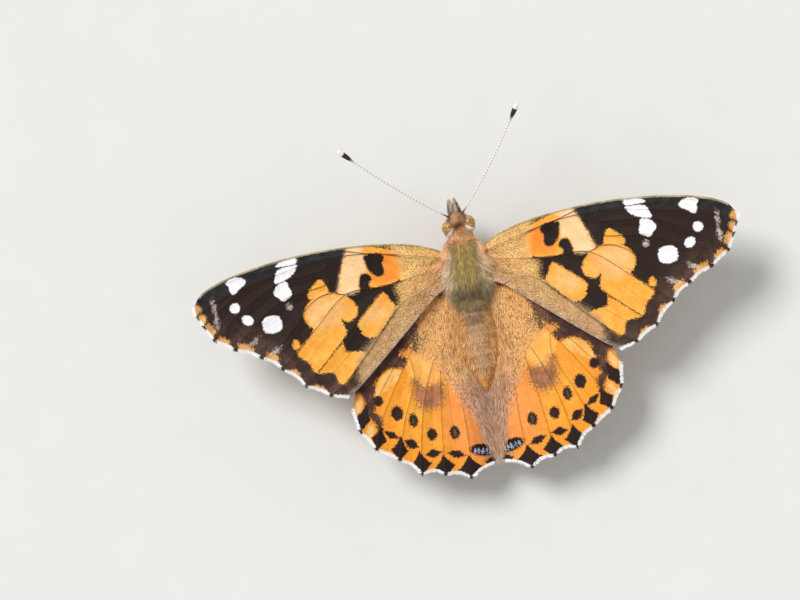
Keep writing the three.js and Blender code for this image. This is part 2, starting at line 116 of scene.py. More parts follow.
def limb(name, corners, radii, sides, rings, wide=1.0, up=(0, 0, 1)):
    """A round piece along a smooth path, closed at both ends; radii lists (share of length, radius)."""
    path = smooth_path(corners, 0.05)
    deselect()
    bpy.ops.mesh.primitive_uv_sphere_add(segments=sides, ring_count=rings)
    piece = bpy.context.object
    piece.name = piece.data.name = name
    flat = np.empty(len(piece.data.vertices) * 3, np.float32)
    piece.data.vertices.foreach_get("co", flat)
    ball = flat.reshape(-1, 3).astype(float)
    share = np.round(np.arccos(np.clip(ball[:, 2], -1, 1)) / math.pi * rings) / rings
    turn = np.arctan2(ball[:, 1], ball[:, 0])
    middle = along_path(path, share)
    ahead = along_path(path, np.minimum(share + 0.02, 1)) - along_path(path, np.maximum(share - 0.02, 0))
    ahead /= np.linalg.norm(ahead, axis=1, keepdims=True)
    aside = np.cross(ahead, up)
    aside /= np.linalg.norm(aside, axis=1, keepdims=True)
    above = np.cross(aside, ahead)
    table = np.array(radii, float)
    radius = np.interp(share, table[:, 0], table[:, 1]) * (share > 0) * (share < 1)
    spread = aside * (wide * radius * np.cos(turn))[:, None] + above * (radius * np.sin(turn))[:, None]
    put_points(piece.data, middle + spread)
    bpy.ops.object.mode_set(mode="EDIT")
    bpy.ops.mesh.select_all(action="SELECT")
    bpy.ops.mesh.normals_make_consistent(inside=False)
    bpy.ops.object.mode_set(mode="OBJECT")
    bpy.ops.object.shade_smooth()
    return piece


def turned(points):
    """Points drawn about the neck, with the head's own turn, moved to the head's place."""
    x, y, z = np.asarray(points, float).T
    cos, sin = math.cos(HEAD_TURN), math.sin(HEAD_TURN)
    return np.column_stack([x * cos - y * sin, x * sin + y * cos, z]) + HEAD_PLACE


def thorax_middle(y):
    return BODY_HEIGHT - 0.03 * min(0, y) * min(0, y + 2)


def abdomen_middle(y):
    behind = WAIST - 0.15 - y
    return thorax_middle(WAIST) - 0.11 * behind - 0.004 * behind * behind


COAT_DEPTH = {"thorax": 0.3, "abdomen": 0.12, "head": 0.1}
THORAX_GIRTH = [(-5.75, 1.35), (-4.6, 2.15), (-3.0, 2.62), (-1.4, 2.72), (0.2, 2.45), (1.2, 1.8), (1.75, 0.95)]
ABDOMEN_GIRTH = [(0, 1.5), (0.12, 1.8), (0.38, 2.05), (0.62, 1.8), (0.84, 1.15), (0.95, 0.62), (1, 0.3)]
ABDOMEN_LENGTH = 10.5
RINGS = 7
HEAD_GIRTH = [(0.0, 0.75), (0.55, 1.15), (1.2, 1.32), (1.95, 1.1), (2.4, 0.55)]

smooth_girth = smooth_path(THORAX_GIRTH, 0.2)
stations = np.linspace(-5.75, 1.75, 60)
girth = np.interp(stations, smooth_girth[:, 0], smooth_girth[:, 1]) - COAT_DEPTH["thorax"]
thorax = limb(
    "thorax_form",
    [(0, y, thorax_middle(y)) for y in np.linspace(-5.75, 1.75, 12)],
    list(zip((stations + 5.75) / 7.5, girth)),
    sides=48, rings=60, wide=0.96,
)
shares = np.linspace(0, 1, 130)
girth_path = smooth_path(ABDOMEN_GIRTH, 0.02)
girth = np.interp(shares, girth_path[:, 0], girth_path[:, 1]) - COAT_DEPTH["abdomen"]
lap = (shares * RINGS) % 1.0
girth = girth + 0.1 * (lap ** 2 - 0.6) * between(shares, 0, 0.1)
abdomen = limb(
    "abdomen_form",
    [(0, WAIST - 0.15 - d, abdomen_middle(WAIST - 0.15 - d)) for d in np.linspace(0, ABDOMEN_LENGTH, 14)],
    list(zip(shares, girth)),
    sides=48, rings=130, wide=0.98,
)
waist = limb("waist_form", [(0, -6.9, 6.5), (0, -4.6, 6.65)], [(0, 1.45), (1, 1.6)], sides=32, rings=12)
neck = limb("neck_form", turned([(0, -1.0, 0), (0, 1.0, 0)]), [(0, 1.1), (0.5, 1.05), (1, 1.1)], sides=32, rings=12)
stations = np.array([y for y, _ in HEAD_GIRTH])
skull = limb(
    "skull_form",
    turned([(0, y, 0.0) for y in np.linspace(0, 2.45, 8)]),
    [(y / 2.45, r - COAT_DEPTH["head"]) for y, r in HEAD_GIRTH],
    sides=40, rings=24,
)
lobes = [
    limb(f"lobe_form_{side}", [(side * 1.75, 1.0, 8.2), (side * 2.05, -0.2, 8.4), (side * 2.1, -1.5, 8.3)],
         [(0, 0.05), (0.12, 0.3), (0.4, 0.5), (0.7, 0.42), (1, 0.1)], sides=20, rings=16)
    for side in (1, -1)
]
deselect()
for piece in [thorax, abdomen, waist, neck, skull] + lobes:
    piece.select_set(True)
bpy.context.view_layer.objects.active = thorax
bpy.ops.object.join()
skin = bpy.context.object
skin.name = skin.data.name = "body_skin"
whole = skin.modifiers.new("one skin", "REMESH")
whole.mode = "VOXEL"
whole.voxel_size = 0.13 * MM
bpy.ops.object.modifier_apply(modifier=whole.name)
soften = skin.modifiers.new("soft joins", "SMOOTH")
soften.factor = 0.5
soften.iterations = 3
bpy.ops.object.modifier_apply(modifier=soften.name)
bpy.ops.object.shade_smooth()


def keep_numbers(mesh, name, values):
    """Stores a number or a vector for each vertex."""
    kind = "FLOAT" if values.ndim == 1 else "FLOAT_VECTOR"
    layer = mesh.attributes.new(name, kind, "POINT")
    layer.data.foreach_set("value" if kind == "FLOAT" else "vector", values.astype(np.float32).ravel())


def map_faces(mesh, spread):
    """Gives each face corner its place on the bake map."""
    layer = mesh.uv_layers.new(name="OFBake")
    corner = np.empty(len(mesh.loops), np.int32)
    mesh.loops.foreach_get("vertex_index", corner)
    layer.data.foreach_set("uv", spread[corner].astype(np.float32).ravel())


def into_spot(plan, spot):
    """Depth of each plan point inside a spot: middle, half width, half height, tilt in degrees, and
    if given a power: 2 for an oval, 1 for a diamond, less for a star with hollow sides."""
    x, y, wide, high, tilt = spot[:5]
    power = spot[5] if len(spot) > 5 else 2
    turn = math.radians(tilt)
    across = np.abs((plan[:, 0] - x) * math.cos(turn) + (plan[:, 1] - y) * math.sin(turn)) / wide
    along = np.abs((plan[:, 1] - y) * math.cos(turn) - (plan[:, 0] - x) * math.sin(turn)) / high
    return (1 - (across ** power + along ** power) ** (1 / power)) * min(wide, high)


def body_marks(points):
    """How far each point lies inside each coloured part of the coat, in millimetres."""
    x, y, z = points.T
    side = np.abs(x)
    fold = np.column_stack([side, y])
    middle = np.interp(y, [-16.2, -10, -5.7, 0, 4], [4.7, 6.2, 6.7, 7, 7])
    behind = WAIST - 0.15 - y
    ring = (behind / ABDOMEN_LENGTH * RINGS) % 1.0
    top = z - middle
    return {
        "shoulder": np.where((y > -5.4) & (y < 1.9), side - 1.2, -5),
        "gold": np.where(top > 0, into_spot(fold, (0.34, -0.1, 0.17, 1.5, 4)), -5),
        "groove": np.where(top > 0, np.maximum(into_spot(fold, (0, -0.5, 0.11, 1.9, 0)),
                                               into_spot(fold, (0.78, -0.8, 0.17, 1.9, 3))), -5),
        "collar": np.where(top > -0.5, into_spot(np.column_stack([x, y]), (0.05, 1.55, 1.75, 0.62, 6)), -5),
        "tegula": np.where(top > 0.2, into_spot(fold, (2.0, 0.1, 0.42, 1.7, 10)), -5),
        "rear": np.where((top > -0.5) & (y > -6.3), into_spot(fold, (0.3, -4.6, 1.3, 1.1, 0)), -5),
        "belly": np.where(y > -5.8, -0.8 - top, -0.45 - top),
        "behind": behind,
        "front": np.minimum(behind, 2.8 - behind),
        "side": np.where(behind > 0.5, side - 0.62 * np.interp(behind, [0, 4, 8, 10.5], [1.5, 2.0, 1.4, 0.4]), -5),
        "ring": np.where(behind > 0, 0.16 - np.abs(ring - 0.96) * 1.5, -5),
        "tip": behind - 8.6,
        "face": y - 2.0,
        "temple": np.where(y > 2.2, np.abs(x - 0.15 + 0.112 * (y - 1.9)) - 0.55, -5),
        "brow": np.where(top > 0.2, into_spot(np.column_stack([x, y]), (-0.15, 2.8, 0.5, 0.18, 6)), -5),
    }


def tone(red, green, blue, alpha=1):
    """A colour as the eye reads it on a screen, 0 to 255, made linear."""
    return tuple(((c / 255 + 0.055) / 1.055) ** 2.4 if c > 10 else c / 3294 for c in (red, green, blue)) + (alpha,)


class Graph:
    """The nodes of one material or group, added one after another."""

    def __init__(self, tree):
        self.tree = tree

    def add(self, kind, sockets=(), **settings):
        made = self.tree.nodes.new("ShaderNode" + kind)
        for key, value in settings.items():
            setattr(made, key, value)
        for key, value in dict(sockets).items():
            self.join(value, made.inputs[key])
        return made

    def join(self, value, socket):
        if isinstance(value, bpy.types.NodeSocket):
            self.tree.links.new(value, socket)
        else:
            socket.default_value = value

    def math(self, operation, *values):
        made = self.add("Math", enumerate(values), operation=operation)
        return made.outputs[0]

    def blend(self, share, first, second, kind="MIX"):
        made = self.add("Mix", {0: share, 6: first, 7: second}, data_type="RGBA", blend_type=kind)
        return made.outputs[2]

    def between(self, value, low, high, start=0.0, end=1.0):
        sockets = {0: value, 1: low, 2: high, 3: start, 4: end}
        return self.add("MapRange", sockets, interpolation_type="SMOOTHSTEP").outputs[0]

    def shade(self, colour, factor):
        """Darkens or lightens a colour by a factor about 1."""
        grey = self.add("CombineColor", {0: factor, 1: factor, 2: factor}).outputs[0]
        return self.blend(1, colour, grey, "MULTIPLY")

    def mark(self, name, output="Fac"):
        return self.add("Attribute", attribute_name=name).outputs[output]

    def place(self):
        return self.add("TexCoord").outputs["Object"]

    def noise(self, vector, size, detail=2, output=0):
        """Cloudy noise with patches of about the given size in millimetres."""
        sockets = {"Vector": vector, "Scale": 1 / (size * MM), "Detail": detail}
        return self.add("TexNoise", sockets).outputs[output]

    def stretch(self, vector, factors):
        sockets = {0: vector, 1: factors}
        return self.add("VectorMath", sockets, operation="MULTIPLY").outputs[0]


def new_group(name, inputs, outputs):
    """An empty node group with float sockets, and its input and output nodes."""
    tree = bpy.data.node_groups.new(name, "ShaderNodeTree")
    for label, value in inputs.items():
        tree.interface.new_socket(label, in_out="INPUT", socket_type="NodeSocketFloat").default_value = value
    for label in outputs:
        tree.interface.new_socket(label, in_out="OUTPUT", socket_type="NodeSocketFloat")
    graph = Graph(tree)
    return graph, tree.nodes.new("NodeGroupInput"), tree.nodes.new("NodeGroupOutput")


def new_material(name):
    material = bpy.data.materials.new(name)
    material.use_nodes = True
    graph = Graph(material.node_tree)
    return material, graph, material.node_tree.nodes["Principled BSDF"]


def paint_layers(graph, colour, layers, scale, cloud):
    """Lays each layer of a table over the ones before it. A layer is a mark, two tones, how softly it
    ends, how far single scales or hairs stray over its edge (both in millimetres), and how dense it is."""
    for mark, first, second, soft, stray, cover in layers:
        tones = graph.blend(graph.between(cloud, 0.35, 0.65), tone(*first), tone(*second))
        strayed = graph.math("MULTIPLY_ADD", graph.math("SUBTRACT", scale, 0.5), 2 * stray, graph.mark(mark))
        share = graph.between(strayed, -soft, soft, 0, cover)
        colour = graph.blend(share, colour, tones)
    return colour


BODY_LAYERS = [
    ("shoulder", (250, 232, 206), (216, 192, 160), 0.35, 0.6, 0.9),
    ("gold", (232, 200, 104), (206, 172, 90), 0.1, 0.12, 0.8),
    ("groove", (146, 128, 74), (114, 100, 60), 0.1, 0.2, 0.6),
    ("rear", (122, 102, 78), (72, 62, 50), 0.4, 0.8, 0.85),
    ("belly", (232, 216, 186), (206, 184, 150), 0.3, 0.4, 0.95),
    ("front", (160, 134, 104), (130, 108, 84), 0.6, 0.4, 0.8),
    ("side", (255, 202, 128), (240, 180, 112), 0.25, 0.3, 0.85),
    ("ring", (240, 206, 156), (222, 184, 134), 0.05, 0.08, 0.55),
    ("tip", (252, 182, 94), (234, 156, 78), 0.4, 0.3, 0.85),
    ("collar", (236, 180, 130), (214, 156, 108), 0.3, 0.3, 0.9),
    ("tegula", (255, 208, 158), (246, 188, 136), 0.15, 0.2, 0.95),
    ("face", (232, 176, 126), (204, 146, 98), 0.2, 0.2, 0.9),
    ("temple", (232, 214, 186), (168, 138, 110), 0.12, 0.3, 0.8),
    ("brow", (136, 70, 52), (110, 58, 44), 0.1, 0.1, 0.9),
]


def coat_material(name, hairy):
    """The skin's and the hairs' finish: the same colours, with painted shade on the skin and at the hairs' roots, so
    that hairs grow lighter towards the tip.
    """
    material, graph, surface = new_material(name)
    cloud = graph.noise(graph.place(), 0.9, 3)
    if hairy:
        scale = graph.mark("lot")
    else:
        scale = graph.noise(graph.stretch(graph.place(), (1, 0.3, 1)), 0.08, 2)
    thorax = graph.blend(cloud, tone(218, 190, 118), tone(172, 146, 94))
    abdomen = graph.blend(cloud, tone(224, 180, 130), tone(200, 156, 110))
    colour = graph.blend(graph.between(graph.mark("behind"), 0.2, 1.6), thorax, abdomen)
    colour = paint_layers(graph, colour, BODY_LAYERS, scale, cloud)
    factor = graph.math("MULTIPLY_ADD", scale, 0.5, 0.78)
    if hairy:
        factor = graph.math("MULTIPLY_ADD", graph.math("POWER", scale, 0.6), 0.75, 0.55)
        # Each hair is painted darker towards its root: painted shade from the hairs that lie over it.
        factor = graph.math("MULTIPLY", factor, graph.math("MULTIPLY_ADD", graph.mark("along"), 0.45, 0.72))
    else:
        # The skin is painted darker by a fixed share: painted shade under the coat.
        factor = graph.math("MULTIPLY", factor, 0.75)
    graph.join(graph.shade(colour, factor), surface.inputs["Base Color"])
    surface.inputs["Roughness"].default_value = 0.6
    surface.inputs["Specular IOR Level"].default_value = 0.35
    if not hairy:
        relief = graph.add("Bump", {"Strength": 0.6, "Distance": 0.03 * MM, "Height": scale})
        graph.join(relief.outputs[0], surface.inputs["Normal"])
    return material


def body_unwrap(points):
    """The body's own unwrap: round its middle line across, and along it upwards."""
    middle = np.interp(points[:, 1], [-16.2, -10, -5.7, 0, 4], [4.7, 6.2, 6.7, 7, 7])
    turn = np.arctan2(points[:, 0], points[:, 2] - middle) / (2 * math.pi) + 0.5
    return np.column_stack([0.02 + 0.96 * turn, 0.02 + 0.96 * (points[:, 1] + 16.6) / 21.2])


skin_finish = coat_material("body skin", hairy=False)
points = read_points(skin.data)
for label, values in body_marks(points).items():
    keep_numbers(skin.data, label, values)
skin.data.materials.clear()
skin.data.materials.append(skin_finish)
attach(skin, "root")
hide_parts("head", "thorax", "abdomen")


# Coat: single flat hairs, rooted in the skin and lying backwards over one another. They are long and silky
# on the thorax, short and close on the abdomen, and bristly on the head.
def hairs(name, roots, normals, lie, lengths, widths, stand, seed, unwrap, marks, bend=0.5, sway=0.25):
    """Joined hair blades of three faces each. Lie is the way they point along the skin, stand the share
    by which they rise from it, bend how far they lean back to the skin, sway how much they stray."""
    rng = np.random.default_rng(seed)
    count = len(roots)
    lie = lie - normals * np.sum(lie * normals, axis=1, keepdims=True)
    lie = lie / np.maximum(np.linalg.norm(lie, axis=1, keepdims=True), 1e-6)
    lie = lie + sway * rng.normal(size=(count, 3))
    start = lie * (1 - stand)[:, None] + normals * stand[:, None]
    start /= np.linalg.norm(start, axis=1, keepdims=True)
    leave = start * (1 - bend) + lie * bend
    leave /= np.linalg.norm(leave, axis=1, keepdims=True)
    aside = np.cross(start, normals)
    aside /= np.maximum(np.linalg.norm(aside, axis=1, keepdims=True), 1e-6)
    half = 0.5 * widths[:, None]
    roots = roots - 0.03 * normals
    middle = roots + start * (0.5 * lengths[:, None])
    tip = middle + leave * (0.5 * lengths[:, None])
    points = np.stack([roots - aside * half, roots + aside * half, middle + aside * half * 0.8,
                       middle - aside * half * 0.8, tip], axis=1)
    points[..., 2] = np.maximum(points[..., 2], 0.02)
    first = np.arange(count)[:, None] * 5
    faces = [quad for quad in (first + (0, 1, 2, 3)).tolist()] + [tri for tri in (first + (3, 2, 4)).tolist()]
    mesh = bpy.data.meshes.new(name)
    mesh.from_pydata(np.zeros((count * 5, 3)).tolist(), [], faces)
    put_points(mesh, points.reshape(-1, 3))
    piece = bpy.data.objects.new(name, mesh)
    bpy.context.scene.collection.objects.link(piece)
    for label, values in marks.items():
        keep_numbers(mesh, label, np.repeat(values, 5))
    keep_numbers(mesh, "lot", np.repeat(rng.random(count), 5))
    keep_numbers(mesh, "along", np.tile([0, 0, 0.5, 0.5, 1.0], count))
    patch = np.array([(-1, -1), (1, -1), (0.8, 0), (-0.8, 0), (0, 1)]) * 0.0015
    spread = unwrap[:, None] + patch
    map_faces(mesh, spread.reshape(-1, 2))
    for polygon in mesh.polygons:
        polygon.use_smooth = True
    return piece


def scatter(mesh, density, seed, keep=None):
    """Random points on a mesh in millimetres with their normals, by a density for each face."""
    mesh.calc_loop_triangles()
    corners = np.empty(len(mesh.loop_triangles) * 3, np.int32)
    mesh.loop_triangles.foreach_get("vertices", corners)
    corners = corners.reshape(-1, 3)
    points = read_points(mesh)
    normals = np.empty(len(mesh.vertices) * 3, np.float32)
    mesh.vertex_normals.foreach_get("vector", normals)
    normals = normals.reshape(-1, 3).astype(float)
    a, b, c = (points[corners[:, i]] for i in range(3))
    area = 0.5 * np.linalg.norm(np.cross(b - a, c - a), axis=1)
    rng = np.random.default_rng(seed)
    number = rng.poisson(area * density((a + b + c) / 3))
    face = np.repeat(np.arange(len(corners)), number)
    u, v = rng.random(len(face)), rng.random(len(face))
    over = u + v > 1
    u, v = np.where(over, 1 - u, u)[:, None], np.where(over, 1 - v, v)[:, None]
    mix = lambda data: (1 - u - v) * data[corners[face, 0]] + u * data[corners[face, 1]] + v * data[corners[face, 2]]
    roots, upright = mix(points), mix(normals)
    return roots, upright / np.linalg.norm(upright, axis=1, keepdims=True)


hair_finish = coat_material("body hair", hairy=True)


def dress(piece, finish):
    piece.data.materials.append(finish)
    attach(piece, "root")


def thorax_density(points):
    return np.where((points[:, 1] > -6.1) & (points[:, 1] < 2.0), 330.0, 0.0)


roots, upright = scatter(skin.data, thorax_density, seed=11)
rng = np.random.default_rng(12)
count = len(roots)
lie = np.column_stack([0.12 * roots[:, 0], -np.ones(count), np.full(count, -0.15)])
marks = body_marks(roots)
shorter = np.where(np.maximum(marks["tegula"], marks["collar"]) > -0.1, 0.42, 1)
coat = hairs(
    "thorax_hair", roots, upright, lie,
    lengths=rng.uniform(0.7, 1.5, count) * shorter, widths=rng.uniform(0.035, 0.06, count),
    stand=rng.uniform(0.12, 0.42, count) * shorter, seed=13, unwrap=body_unwrap(roots), marks=marks,
)
dress(coat, hair_finish)


def mantle_density(points):
    side = np.abs(points[:, 0])
    return np.where((side > 1.0) & (points[:, 2] > 7.0) & (points[:, 1] > -5.8) & (points[:, 1] < -0.6), 150.0, 0.0)


roots, upright = scatter(skin.data, mantle_density, seed=15)
rng = np.random.default_rng(16)
count = len(roots)
lie = np.column_stack([1.0 * np.sign(roots[:, 0]), -np.ones(count), np.full(count, 0.15)])
coat = hairs(
    "thorax_mantle", roots, upright, lie,
    lengths=rng.uniform(1.2, 2.5, count), widths=rng.uniform(0.03, 0.05, count),
    stand=rng.uniform(0.15, 0.45, count), seed=17, unwrap=body_unwrap(roots), marks=body_marks(roots),
    bend=0.75, sway=0.3,
)
dress(coat, hair_finish)


def ruff_density(points):
    return np.where((points[:, 1] > 0.9) & (points[:, 1] < 2.2), 300.0, 0.0)


roots, upright = scatter(skin.data, ruff_density, seed=18)
rng = np.random.default_rng(19)
count = len(roots)
lie = np.column_stack([0.5 * roots[:, 0], np.full(count, 0.3), np.zeros(count)])
marks = body_marks(roots)
marks["collar"] = np.where(roots[:, 2] > 6.5, 1.0, marks["collar"])
coat = hairs(
    "collar_ruff", roots, upright, lie,
    lengths=rng.uniform(0.35, 0.65, count), widths=rng.uniform(0.035, 0.055, count),
    stand=rng.uniform(0.45, 0.75, count), seed=20, unwrap=body_unwrap(roots), marks=marks, sway=0.3,
)
dress(coat, hair_finish)


def abdomen_density(points):
    return np.where(points[:, 1] < -5.6, 420.0, 0.0)


roots, upright = scatter(skin.data, abdomen_density, seed=21)
rng = np.random.default_rng(22)
count = len(roots)
marks = body_marks(roots)
flank = between(marks["side"], -0.15, 0.3) * (roots[:, 2] > 5.4)
lie = np.column_stack([0.5 * np.sign(roots[:, 0]) * flank, -np.ones(count), np.full(count, -0.1)])
coat = hairs(
    "abdomen_hair", roots, upright, lie,
    lengths=rng.uniform(0.3, 0.65, count) * (1 + 1.1 * flank), widths=rng.uniform(0.05, 0.09, count),
    stand=rng.uniform(0.1, 0.4, count), seed=23, unwrap=body_unwrap(roots), marks=marks,
)
dress(coat, hair_finish)

# Eyes: two bulging domes of many small lenses, amber with a dark band, set into the sides of the head
# and rimmed behind with white scales.
EYE = {"middle": (1.2, 1.05, 0.1), "radii": (0.8, 0.96, 1.03)}
eye_finish, graph, surface = new_material("compound eye")
lenses = graph.add("TexVoronoi", {"Vector": graph.place(), "Scale": 1 / (0.05 * MM)})
band = graph.between(graph.math("ABSOLUTE", graph.math("SUBTRACT", graph.mark("ahead"), 0.12)), 0.1, 0.24, 1, 0)
streak = graph.between(graph.noise(graph.place(), 0.3, 3), 0.4, 0.62)
colour = graph.blend(streak, tone(180, 126, 66), tone(224, 172, 98))
colour = graph.blend(graph.math("MULTIPLY", band, 0.4), colour, tone(104, 70, 38))
colour = graph.blend(graph.between(graph.mark("ahead"), -0.55, -0.85), colour, tone(226, 206, 170))
rim = graph.between(lenses.outputs["Distance"], 0.25, 0.5, 1, 0.75)
graph.join(graph.shade(colour, rim), surface.inputs["Base Color"])
surface.inputs["Roughness"].default_value = 0.28
surface.inputs["Coat Weight"].default_value = 0.3
domes = graph.math("SUBTRACT", 1, lenses.outputs["Distance"])
relief = graph.add("Bump", {"Strength": 0.35, "Distance": 0.01 * MM, "Height": domes})
graph.join(relief.outputs[0], surface.inputs["Normal"])


def eyeball(side):
    deselect()
    bpy.ops.mesh.primitive_uv_sphere_add(segments=48, ring_count=32)
    eye = bpy.context.object
    flat = np.empty(len(eye.data.vertices) * 3, np.float32)
    eye.data.vertices.foreach_get("co", flat)
    ball = flat.reshape(-1, 3).astype(float)
    shape = ball * EYE["radii"] + EYE["middle"]
    put_points(eye.data, turned(shape * (side, 1, 1)))
    keep_numbers(eye.data, "ahead", ball[:, 1])
    bpy.ops.object.mode_set(mode="EDIT")
    bpy.ops.mesh.select_all(action="SELECT")
    bpy.ops.mesh.normals_make_consistent(inside=False)
    bpy.ops.object.mode_set(mode="OBJECT")
    bpy.ops.object.shade_smooth()
    return eye


def along_lie(roots, path):
    """The way a path runs beside each root, and the root's place on the unwrap of a round limb."""
    nearest = np.argmin(np.linalg.norm(roots[:, None] - path[None], axis=2), axis=1)
    ahead = np.gradient(path, axis=0)[nearest]
    ahead /= np.linalg.norm(ahead, axis=1, keepdims=True)
    off = roots - path[nearest]
    turn = np.arctan2(off[:, 0] + off[:, 1], off[:, 2]) / (2 * math.pi) + 0.5
    return ahead, np.column_stack([0.02 + 0.96 * turn, 0.02 + 0.96 * nearest / len(path)])


def bristle_material(name, dark, light, share, root_shade=0.7):
    """Hairs of two colours mixed, each darker at its root."""
    material, graph, surface = new_material(name)
    lot = graph.mark("lot")
    colour = graph.blend(graph.between(lot, share - 0.04, share + 0.04), tone(*dark), tone(*light))
    drift = graph.math("MULTIPLY_ADD", graph.noise(graph.place(), 0.5, 2), 0.5, 0.75)
    # Each hair is painted darker at its root: painted shade from the hairs around it.
    paler = graph.math("MULTIPLY_ADD", graph.mark("along"), 1.1 - root_shade, root_shade)
    graph.join(graph.shade(colour, graph.math("MULTIPLY", drift, paler)), surface.inputs["Base Color"])
    surface.inputs["Roughness"].default_value = 0.55
    surface.inputs["Specular IOR Level"].default_value = 0.35
    return material


for side, hand in ((1, "right"), (-1, "left")):
    eye = eyeball(side)
    eye.name = eye.data.name = f"eye_dome_{hand}"
    eye.data.materials.append(eye_finish)
    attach(eye, "root")
    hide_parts(f"eye_{hand}")

# Palps: two upturned furry feelers of the mouth, pressed together in front of the face, rust-brown with
# black and pale bristles towards their tips.
PALP = [(0.42, 1.6, -0.75), (0.38, 2.5, -0.6), (0.32, 3.4, -0.1), (0.28, 4.1, 0.45)]
palp_skin = bristle_material("palp skin", (190, 148, 118), (206, 166, 136), 0.5)
palp_brown = bristle_material("palp fur", (206, 156, 116), (255, 236, 214), 0.3, 0.9)
palp_bristle = {
    "dark": bristle_material("dark bristles", (34, 26, 24), (70, 50, 40), 0.6, 0.9),
    "pale": bristle_material("pale bristles", (214, 196, 180), (255, 250, 242), 0.2, 0.95),
}
for side, hand in ((1, "right"), (-1, "left")):
    line = turned(np.array(PALP) * (side, 1, 1))
    palp = limb(f"palp_core_{hand}", line, [(0, 0.1), (0.1, 0.26), (0.4, 0.3), (0.75, 0.18), (1, 0.05)],
                sides=16, rings=20)
    dress(palp, palp_skin)
    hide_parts(f"palp_{hand}")
    path = smooth_path(line, 0.1)
    roots, upright = scatter(palp.data, lambda points: 520.0, seed=31)
    ahead, spread = along_lie(roots, path)
    rng = np.random.default_rng(32)
    count = len(roots)
    fur = hairs(f"palp_fur_{hand}", roots, upright, ahead, lengths=rng.uniform(0.3, 0.6, count),
                widths=rng.uniform(0.03, 0.05, count), stand=rng.uniform(0.1, 0.35, count), seed=33,
                unwrap=spread, marks={})
    dress(fur, palp_brown)
    outer = (roots - path[np.argmin(np.linalg.norm(roots[:, None] - path[None], axis=2), axis=1)])[:, 0] * side
    for shade_of, chosen in (("dark", outer > 0.1), ("pale", (outer < 0.08) & (upright[:, 2] > -0.2))):
        chosen &= rng.random(count) < 0.4
        some = int(chosen.sum())
        fur = hairs(f"palp_{shade_of}_bristles_{hand}", roots[chosen], upright[chosen], ahead[chosen],
                    lengths=rng.uniform(0.55, 1.0, some), widths=rng.uniform(0.03, 0.045, some),
                    stand=rng.uniform(0.1, 0.3, some), seed=34, unwrap=spread[chosen], marks={}, sway=0.1)
        dress(fur, palp_bristle[shade_of])

# Tongue: two half pipes hooked together, rolled up like a watch spring under the head.
COIL = {"y": 1.75, "z": -2.2, "outer": 0.98, "inner": 0.16, "turns": 2.4}
def share_of(piece):
    """The share of a limb's length at each vertex, from the map the ball was made with."""
    flat = np.empty(len(piece.data.uv_layers[0].data) * 2, np.float32)
    piece.data.uv_layers[0].data.foreach_get("uv", flat)
    corner = np.empty(len(piece.data.loops), np.int32)
    piece.data.loops.foreach_get("vertex_index", corner)
    share = np.zeros(len(piece.data.vertices))
    share[corner] = flat[1::2]
    return 1 - share


tongue_finish, graph, surface = new_material("tongue horn")
ribs = graph.math("FRACT", graph.math("MULTIPLY", graph.mark("share"), 110))
colour = graph.blend(graph.noise(graph.place(), 0.5, 3), tone(96, 58, 34), tone(134, 88, 52))
graph.join(graph.shade(colour, graph.between(ribs, 0.0, 0.35, 0.7, 1)), surface.inputs["Base Color"])
surface.inputs["Roughness"].default_value = 0.4
relief = graph.add("Bump", {"Strength": 0.4, "Distance": 0.02 * MM, "Height": graph.between(ribs, 0, 0.5)})
graph.join(relief.outputs[0], surface.inputs["Normal"])
line = []
for t in np.linspace(0, 1, 60):
    angle = math.pi / 2 + 0.5 - 2 * math.pi * COIL["turns"] * t
    radius = COIL["outer"] + (COIL["inner"] - COIL["outer"]) * t
    line.append((0, COIL["y"] + radius * math.cos(angle), COIL["z"] + radius * math.sin(angle)))
tongue = limb("tongue_coil", turned(line), [(0, 0.16), (0.4, 0.13), (1, 0.07)], sides=14, rings=180, up=(1, 0, 0))
keep_numbers(tongue.data, "share", share_of(tongue))
tongue.data.materials.append(tongue_finish)
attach(tongue, "root")
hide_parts("proboscis")

# Feelers: a thin ringed stalk, black and white like a barber's pole, with a flat black club that ends
# in a cream tip.
SOCKET = np.array([0.32, 1.85, 0.72])
FEELER_TIPS = {"right": (10.3, 12.55, 5.9), "left": (11.05, 13.1, 6.2)}
FEELER_BOW = 0.3
feeler_finish, graph, surface = new_material("feeler rings")
share = graph.mark("share")
rings = graph.math("FRACT", graph.math("MULTIPLY", share, 40))
white = graph.between(graph.math("ABSOLUTE", graph.math("SUBTRACT", rings, 0.5)), 0.1, 0.18)
white = graph.math("MULTIPLY", white, graph.between(share, 0.07, 0.14))
white = graph.math("MULTIPLY", white, graph.between(share, 0.84, 0.89, 1, 0))
colour = graph.blend(graph.between(share, 0.05, 0.12), tone(66, 50, 40), tone(188, 180, 164))
colour = graph.blend(white, colour, tone(248, 246, 238))
colour = graph.blend(graph.between(share, 0.86, 0.9), colour, tone(34, 28, 27))
colour = graph.blend(graph.between(share, 0.95, 0.962), colour, tone(250, 242, 222))
grain = graph.noise(graph.place(), 0.08, 2)
graph.join(graph.shade(colour, graph.math("MULTIPLY_ADD", grain, 0.4, 0.8)), surface.inputs["Base Color"])
surface.inputs["Roughness"].default_value = 0.55
relief = graph.add("Bump", {"Strength": 0.5, "Distance": 0.015 * MM, "Height": grain})
graph.join(relief.outputs[0], surface.inputs["Normal"])


